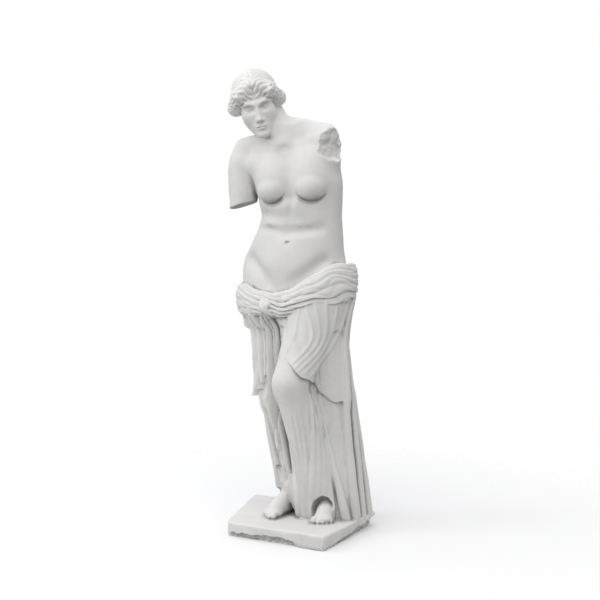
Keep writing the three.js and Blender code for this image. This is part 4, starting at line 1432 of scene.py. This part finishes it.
def set_lights(context, settings):
    """An even sky, a broad key from above and two soft lights on the chest."""
    world = bpy.data.worlds.new("Studio")
    world.use_nodes = True
    tree = world.node_tree
    sky = tree.nodes["Background"]
    sky.inputs["Color"].default_value = (0.975, 0.98, 1.0, 1.0)
    direction = add_node(tree, "ShaderNodeSeparateXYZ")
    tree.links.new(add_node(tree, "ShaderNodeTexCoord").outputs["Generated"], direction.inputs[0])
    above = ramp_node(tree, direction.outputs["Z"], SKY_DARK_BELOW, SKY_FULL_ABOVE)
    tree.links.new(math_node(tree, "MULTIPLY", above, settings.sky), sky.inputs["Strength"])
    backdrop = add_node(tree, "ShaderNodeBackground")
    backdrop.inputs["Color"].default_value = (1.0, 1.0, 1.0, 1.0)
    choose = add_node(tree, "ShaderNodeMixShader")
    tree.links.new(add_node(tree, "ShaderNodeLightPath").outputs["Is Camera Ray"], choose.inputs[0])
    tree.links.new(sky.outputs[0], choose.inputs[1])
    tree.links.new(backdrop.outputs[0], choose.inputs[2])
    tree.links.new(choose.outputs[0], tree.nodes["World Output"].inputs["Surface"])
    context.scene.world = world
    context.scene.view_settings.view_transform = "Standard"
    middle = Vector((FIGURE_SIDE * MM, 0, 1.0))
    rise = settings.key_height
    level = math.cos(rise)
    towards = Vector((level * math.sin(KEY_BEARING), -level * math.cos(KEY_BEARING), math.sin(rise)))
    key = add_light(context, "Key", "SUN", middle + KEY_DISTANCE * towards, middle, settings.key_strength,
                    (1.0, 0.99, 0.965))
    key.angle = settings.key_spread
    powers = {"Front": settings.front_power, "Fill": settings.fill_power}
    for name, (place, colour) in SOFT_LIGHTS.items():
        light = add_light(context, name, "AREA", Vector(place), CHEST, powers[name], colour)
        light.shape = "DISK"
        light.size = SOFT_LIGHT_SIZE


def set_camera(context, settings):
    """A camera that sees the figure from its front left, a little above its waist."""
    lo, hi = CAD_BOX
    aim = Vector((FIGURE_SIDE * MM, 0, (lo.z + hi.z) / 2))
    a = settings.azimuth
    away = settings.distance
    place = Vector((aim.x + away * math.sin(a), -away * math.cos(a), settings.height))
    data = bpy.data.cameras.new("Camera")
    data.lens = settings.lens
    data.sensor_width = 36
    data.shift_y = CAMERA_SHIFT_PIXELS / FRAME_PIXELS
    camera = bpy.data.objects.new("Camera", data)
    camera.location = place
    camera.rotation_euler = (aim - place).to_track_quat("-Z", "Y").to_euler()
    context.scene.collection.objects.link(camera)
    context.scene.camera = camera


class STATUE_PT_panel(bpy.types.Panel):
    """The figure's settings and the buttons that make it"""
    bl_idname = "STATUE_PT_panel"
    bl_label = "Marble statue"
    bl_space_type = "VIEW_3D"
    bl_region_type = "UI"
    bl_category = "Statue"

    def draw(self, context):
        layout = self.layout
        for settings in (context.scene.statue_figure, context.scene.statue_stage):
            for name in settings.__annotations__:
                layout.prop(settings, name)
        for operator in (STATUE_OT_carve, STATUE_OT_stage):
            layout.operator(operator.bl_idname)


CLASSES = (FigureSettings, StageSettings, STATUE_OT_carve, STATUE_OT_stage, STATUE_PT_panel)


def register():
    for cls in CLASSES:
        bpy.utils.register_class(cls)
    bpy.types.Scene.statue_figure = bpy.props.PointerProperty(type=FigureSettings)
    bpy.types.Scene.statue_stage = bpy.props.PointerProperty(type=StageSettings)


def unregister():
    del bpy.types.Scene.statue_stage
    del bpy.types.Scene.statue_figure
    for cls in reversed(CLASSES):
        bpy.utils.unregister_class(cls)


def main():
    register()
    bpy.ops.statue.stage()
    bpy.ops.statue.carve()


if __name__ == "__main__":
    main()
